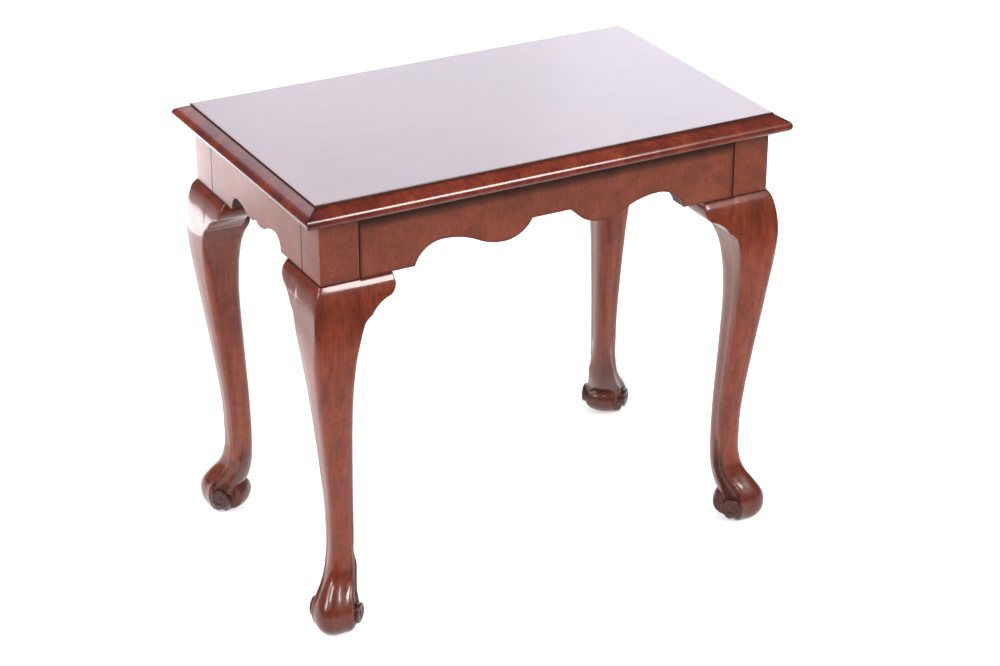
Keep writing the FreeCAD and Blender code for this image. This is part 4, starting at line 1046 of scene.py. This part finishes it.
def screw_tree():
    """Geometry nodes: round-head screws stood head down at six points, four near corners and two at the ends."""
    tree, known = new_tree("glue_block_screws", ("Along", "Across", "End", "Level", "Head", "Shank", "Length"), "Steel")
    for name, term, factor in (("half head", "Head", 0.5), ("half shank", "Shank", 0.5), ("wide", "Head", 2.0),
                               ("slot width", "Head", 0.13), ("slot depth", "Head", 0.36),
                               ("slot level", "Head", -0.42), ("half length", "Length", 0.5),
                               ("-Along", "Along", -1.0), ("-Across", "Across", -1.0), ("-End", "End", -1.0)):
        known[name] = add(tree, "ShaderNodeMath", {0: known[term], 1: factor}, operation="MULTIPLY")
    for name, *parts in (("cutter size", "wide", "wide", "wide"), ("cutter place", 0.0, 0.0, "Head"),
                         ("slot size", "wide", "slot width", "slot depth"), ("slot place", 0.0, 0.0, "slot level"),
                         ("stem place", 0.0, 0.0, "half length")):
        known[name] = add(tree, "ShaderNodeCombineXYZ", {i: known.get(part, part) for i, part in enumerate(parts)})
    cap = add(tree, "GeometryNodeMeshUVSphere", {"Segments": 20, "Rings": 12, "Radius": known["half head"]})
    cap = add(tree, "GeometryNodeTransform", {"Geometry": cap, "Scale": (1.0, 1.0, 0.8)})
    tools = []
    for name in ("cutter", "slot"):
        tool = add(tree, "GeometryNodeMeshCube", {"Size": known[name + " size"]})
        tools.append(add(tree, "GeometryNodeTransform", {"Geometry": tool, "Translation": known[name + " place"]}))
    head = add(tree, "GeometryNodeMeshBoolean", {"Mesh 1": cap, "Mesh 2": tools}, operation="DIFFERENCE",
               solver="EXACT")
    stem = add(tree, "GeometryNodeMeshCylinder",
               {"Vertices": 20, "Radius": known["half shank"], "Depth": known["Length"]})
    stem = add(tree, "GeometryNodeTransform", {"Geometry": stem, "Translation": known["stem place"]})
    shape = add(tree, "GeometryNodeJoinGeometry", {0: [head, stem]})
    spots = []
    for x, y in (("Along", "Across"), ("Along", "-Across"), ("-Along", "Across"), ("-Along", "-Across"),
                 ("End", 0.0), ("-End", 0.0)):
        place = add(tree, "ShaderNodeCombineXYZ", {"X": known[x], "Y": known.get(y, y), "Z": known["Level"]})
        spots.append(add(tree, "GeometryNodePoints", {"Count": 1, "Position": place}))
    spots = add(tree, "GeometryNodeJoinGeometry", {0: spots})
    stood = add(tree, "GeometryNodeInstanceOnPoints", {"Points": spots, "Instance": shape})
    whole = add(tree, "GeometryNodeRealizeInstances", {"Geometry": stood})
    finish = add(tree, "GeometryNodeSetMaterial", {"Geometry": whole, "Material": known["Steel"]})
    add(tree, "NodeGroupOutput", {"Geometry": finish})
    return tree


class TEATABLE_OT_blocks(bpy.types.Operator):
    """Finish the glue blocks under the top and drive their screws."""

    bl_idname = "tea_table.blocks"
    bl_label = "Glue Blocks and Screws"

    def execute(self, context):
        long_wood = carcass_wood("beech_block_long", ("8a6440", "b58a5c"), "X", 13.0)
        short_wood = carcass_wood("beech_block_short", ("8a6440", "b58a5c"), "Y", 14.0)
        for word in ("front_left", "front_right", "back_left", "back_right", "left", "right"):
            node = recoloured("glue_block_" + word, short_wood if word in ("left", "right") else long_wood)
            weld = node.modifiers.new("weld", "WELD")
            weld.merge_threshold = 0.01 * MM
            eased(node, 0.8 * MM, 50)
        steel = drawn_steel("steel_screw_drawn")
        low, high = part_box("glue_block_front_left")
        side_low, side_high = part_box("glue_block_left")
        mesh = grown("screws", screw_tree(), {
            "Along": -(low.x + high.x) / 2, "Across": -(low.y + high.y) / 2, "End": -(side_low.x + side_high.x) / 2,
            "Level": low.z, "Head": 8.4 * MM, "Shank": 4.2 * MM,
            "Length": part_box("glue_block_screws")[1].z - low.z - 0.5 * MM, "Steel": steel})
        dressed("round_head_screws", mesh, ["glue_block_screws"], [steel], 40)
        return {"FINISHED"}


# ---------------------------------------------------------------- studio
def softbox(name, place, aim, width, height, radiance, colour):
    """Rectangular soft light; radiance 1 looks as bright as white paper."""
    light = bpy.data.lights.new(name, "AREA")
    light.shape = "RECTANGLE"
    light.size = width
    light.size_y = height
    light.energy = radiance * math.pi * width * height
    light.color = colour
    lamp = bpy.data.objects.new(name, light)
    bpy.context.scene.collection.objects.link(lamp)
    lamp.location = place
    lamp.rotation_euler = (Vector(aim) - Vector(place)).to_track_quat("-Z", "Y").to_euler()
    lamp.visible_camera = False
    return lamp


class TEATABLE_OT_studio(bpy.types.Operator):
    """Set the table on a pale floor under soft light, and place the camera."""

    bl_idname = "tea_table.studio"
    bl_label = "Studio"

    def execute(self, context):
        self.floor()
        self.lights(context.scene)
        self.camera(context.scene)
        context.scene.view_settings.view_transform = "Standard"
        return {"FINISHED"}

    def floor(self):
        """Lay matt white paper; what the polish mirrors of it glows, a painted reflection that fades out away from the
        table.
        """
        bm = bmesh.new()
        half = 9.0
        bm.faces.new([bm.verts.new((x * half, y * half, 0.0)) for x, y in ((-1, -1), (1, -1), (1, 1), (-1, 1))])
        mesh = bpy.data.meshes.new("studio_floor")
        bm.to_mesh(mesh)
        bm.free()
        material, tree = new_material("paper_sweep_matt")
        paper = add(tree, "ShaderNodeBsdfDiffuse", {"Color": grey(0.7)})
        dark = add(tree, "ShaderNodeBsdfDiffuse", {"Color": grey(0.06)})
        path = add(tree, "ShaderNodeLightPath").outputs
        place = add(tree, "ShaderNodeSeparateXYZ", {0: add(tree, "ShaderNodeTexCoord").outputs["Object"]})
        # Painted reflection: what the polish mirrors of the floor glows, and fades out in front, far behind and on the
        # left (m).
        mirrored = 1.35
        for axis, start, stop in (("Y", -1.15, 0.5), ("Y", 2.8, 2.0), ("X", -0.98, -0.78)):
            fade = add(tree, "ShaderNodeMapRange", {"Value": place.outputs[axis], "From Min": start, "From Max": stop},
                       interpolation_type="SMOOTHSTEP")
            mirrored = add(tree, "ShaderNodeMath", {0: fade, 1: mirrored}, operation="MULTIPLY")
        shiny = add(tree, "ShaderNodeMath", {0: path["Is Glossy Ray"], 1: mirrored}, operation="MULTIPLY")
        clear = add(tree, "ShaderNodeMath", {0: path["Is Camera Ray"], 1: path["Is Transmission Ray"]},
                    operation="MAXIMUM")
        level = add(tree, "ShaderNodeMath", {0: clear, 1: 0.5, 2: shiny}, operation="MULTIPLY_ADD")
        glow = add(tree, "ShaderNodeEmission", {"Color": grey(1.0), "Strength": level})
        paper = add(tree, "ShaderNodeMixShader", {0: path["Is Glossy Ray"], 1: paper, 2: dark})
        both = add(tree, "ShaderNodeAddShader", {0: paper, 1: glow})
        add(tree, "ShaderNodeOutputMaterial", {"Surface": both})
        mesh.materials.append(material)
        floor = bpy.data.objects.new("studio_floor", mesh)
        bpy.context.scene.collection.objects.link(floor)

    def lights(self, scene):
        """White surroundings, darker where the polish mirrors them, and soft lamps round the table."""
        studio = scene.tea_table_studio
        world = bpy.data.worlds.new("studio")
        scene.world = world
        world.use_nodes = True
        tree = world.node_tree
        tree.nodes.clear()
        up = add(tree, "ShaderNodeSeparateXYZ", {0: add(tree, "ShaderNodeTexCoord").outputs["Generated"]})
        path = add(tree, "ShaderNodeLightPath").outputs
        room = add(tree, "ShaderNodeValToRGB", {"Fac": up.outputs["Z"]},
                   [(0.02, grey(0.15)), (0.12, grey(studio.ceiling))])
        behind = add(tree, "ShaderNodeMapRange", {"Value": up.outputs["Y"], "From Min": -0.2, "From Max": 0.2})
        room = add(tree, "ShaderNodeMix", {"Factor": behind, "A": grey(studio.ceiling), "B": room},
                   data_type="RGBA").outputs["Result"]
        walls = add(tree, "ShaderNodeBackground", {"Color": grey(1.0), "Strength": studio.fill})
        gloss = add(tree, "ShaderNodeBackground", {"Color": room, "Strength": 1.0})
        white = add(tree, "ShaderNodeBackground", {"Color": grey(1.0), "Strength": 1.0})
        shiny = add(tree, "ShaderNodeMixShader", {0: path["Is Glossy Ray"], 1: walls, 2: gloss})
        clear = add(tree, "ShaderNodeMath", {0: path["Is Camera Ray"], 1: path["Is Transmission Ray"]},
                    operation="MAXIMUM")
        mixed = add(tree, "ShaderNodeMixShader", {0: clear, 1: shiny, 2: white})
        add(tree, "ShaderNodeOutputWorld", {"Surface": mixed})
        cool, white, lilac = (0.84, 0.88, 1.0), (1.0, 1.0, 1.0), (0.97, 0.95, 1.0)
        middle, left_leg = (0.0, 0.0, 0.5), (-0.26, -0.16, 0.1)
        back, key = studio.backlight, studio.key
        # Place, point it faces, width, height (m), radiance and colour; the floor glow faces straight up.
        for name, *settings in (
                ("back_light", (1.08, 1.57, 1.36), middle, 1.75, 1.3, back, cool),
                ("back_right_light", (1.3, 1.2, 1.32), middle, 1.0, 1.2, back * 0.16, cool),
                ("back_left_light", (-0.17, 1.82, 1.73), (-0.3, 0.0, 0.5), 0.75, 0.75, back * 0.42, cool),
                ("key_light", (0.85, -1.8, 1.7), (0.0, 0.0, 0.4), 0.62, 1.0, key, white),
                ("upper_left_light", (-1.26, -0.92, 1.62), left_leg, 0.6, 0.35, key * 0.8, white),
                ("left_light", (-1.9, -0.24, 1.15), left_leg, 0.5, 0.4, key * 0.8, white),
                ("left_fill", (-1.9, 0.5, 1.9), (-0.2, 0.0, 0.4), 1.3, 1.2, studio.left_fill, white),
                ("floor_glow", (-0.6, 1.43, 0.003), (-0.6, 1.431, 1.0), 0.65, 0.92, studio.floor_glow, lilac)):
            lamp = softbox(name, *settings)
            lamp.visible_diffuse = name != "floor_glow"

    def camera(self, scene):
        """Place the camera in front, to the left and above, looking down on the table."""
        place, yaw, pitch, roll = (-1.2236, -2.2969, 1.4941), -28.52, 25.97, 0.11
        sensor, focal_share = 36.0, 2.5841
        yaw, pitch, roll = math.radians(yaw), math.radians(pitch), math.radians(roll)
        ahead = Vector((-math.sin(yaw) * math.cos(pitch), math.cos(yaw) * math.cos(pitch), -math.sin(pitch)))
        right = Vector((math.cos(yaw), math.sin(yaw), 0.0))
        turn = Matrix((right, right.cross(ahead), -ahead)).transposed() @ Matrix.Rotation(roll, 3, "Z")
        camera = bpy.data.cameras.new("camera")
        camera.sensor_width = sensor
        camera.lens = sensor * focal_share
        camera.clip_start = 0.05
        view = bpy.data.objects.new("camera", camera)
        scene.collection.objects.link(view)
        view.matrix_world = Matrix.Translation(place) @ turn.to_4x4()
        scene.camera = view


class TEATABLE_PT_sidebar(bpy.types.Panel):
    """Lists the steps that dress the table."""

    bl_idname = "TEATABLE_PT_sidebar"
    bl_label = "Tea Table"
    bl_space_type = "VIEW_3D"
    bl_region_type = "UI"
    bl_category = "Tea Table"

    def draw(self, context):
        for operator in OPERATORS:
            self.layout.operator(operator.bl_idname)
        for group in ("tea_table_legs", "tea_table_top", "tea_table_wood", "tea_table_studio"):
            box = self.layout.box()
            settings = getattr(context.scene, group)
            for name in settings.__annotations__:
                box.prop(settings, name)


GROUPS = {"tea_table_legs": LegSizes, "tea_table_top": TopSizes, "tea_table_wood": WoodColours,
          "tea_table_studio": StudioSettings}
OPERATORS = (TEATABLE_OT_legs, TEATABLE_OT_brackets, TEATABLE_OT_frieze, TEATABLE_OT_top,
             TEATABLE_OT_moulding, TEATABLE_OT_blocks, TEATABLE_OT_studio)


def register():
    """Register the classes, and give every scene the table's settings."""
    for kind in (*GROUPS.values(), *OPERATORS, TEATABLE_PT_sidebar):
        bpy.utils.register_class(kind)
    for name, group in GROUPS.items():
        setattr(bpy.types.Scene, name, PointerProperty(type=group))


def unregister():
    """Take away the settings and the classes again."""
    for name in GROUPS:
        delattr(bpy.types.Scene, name)
    for kind in reversed((*GROUPS.values(), *OPERATORS, TEATABLE_PT_sidebar)):
        bpy.utils.unregister_class(kind)


def main():
    """Dress the table step by step."""
    register()
    bpy.ops.tea_table.legs()
    bpy.ops.tea_table.brackets()
    bpy.ops.tea_table.frieze()
    bpy.ops.tea_table.top()
    bpy.ops.tea_table.moulding()
    bpy.ops.tea_table.blocks()
    bpy.ops.tea_table.studio()


if __name__ == "__main__":
    main()
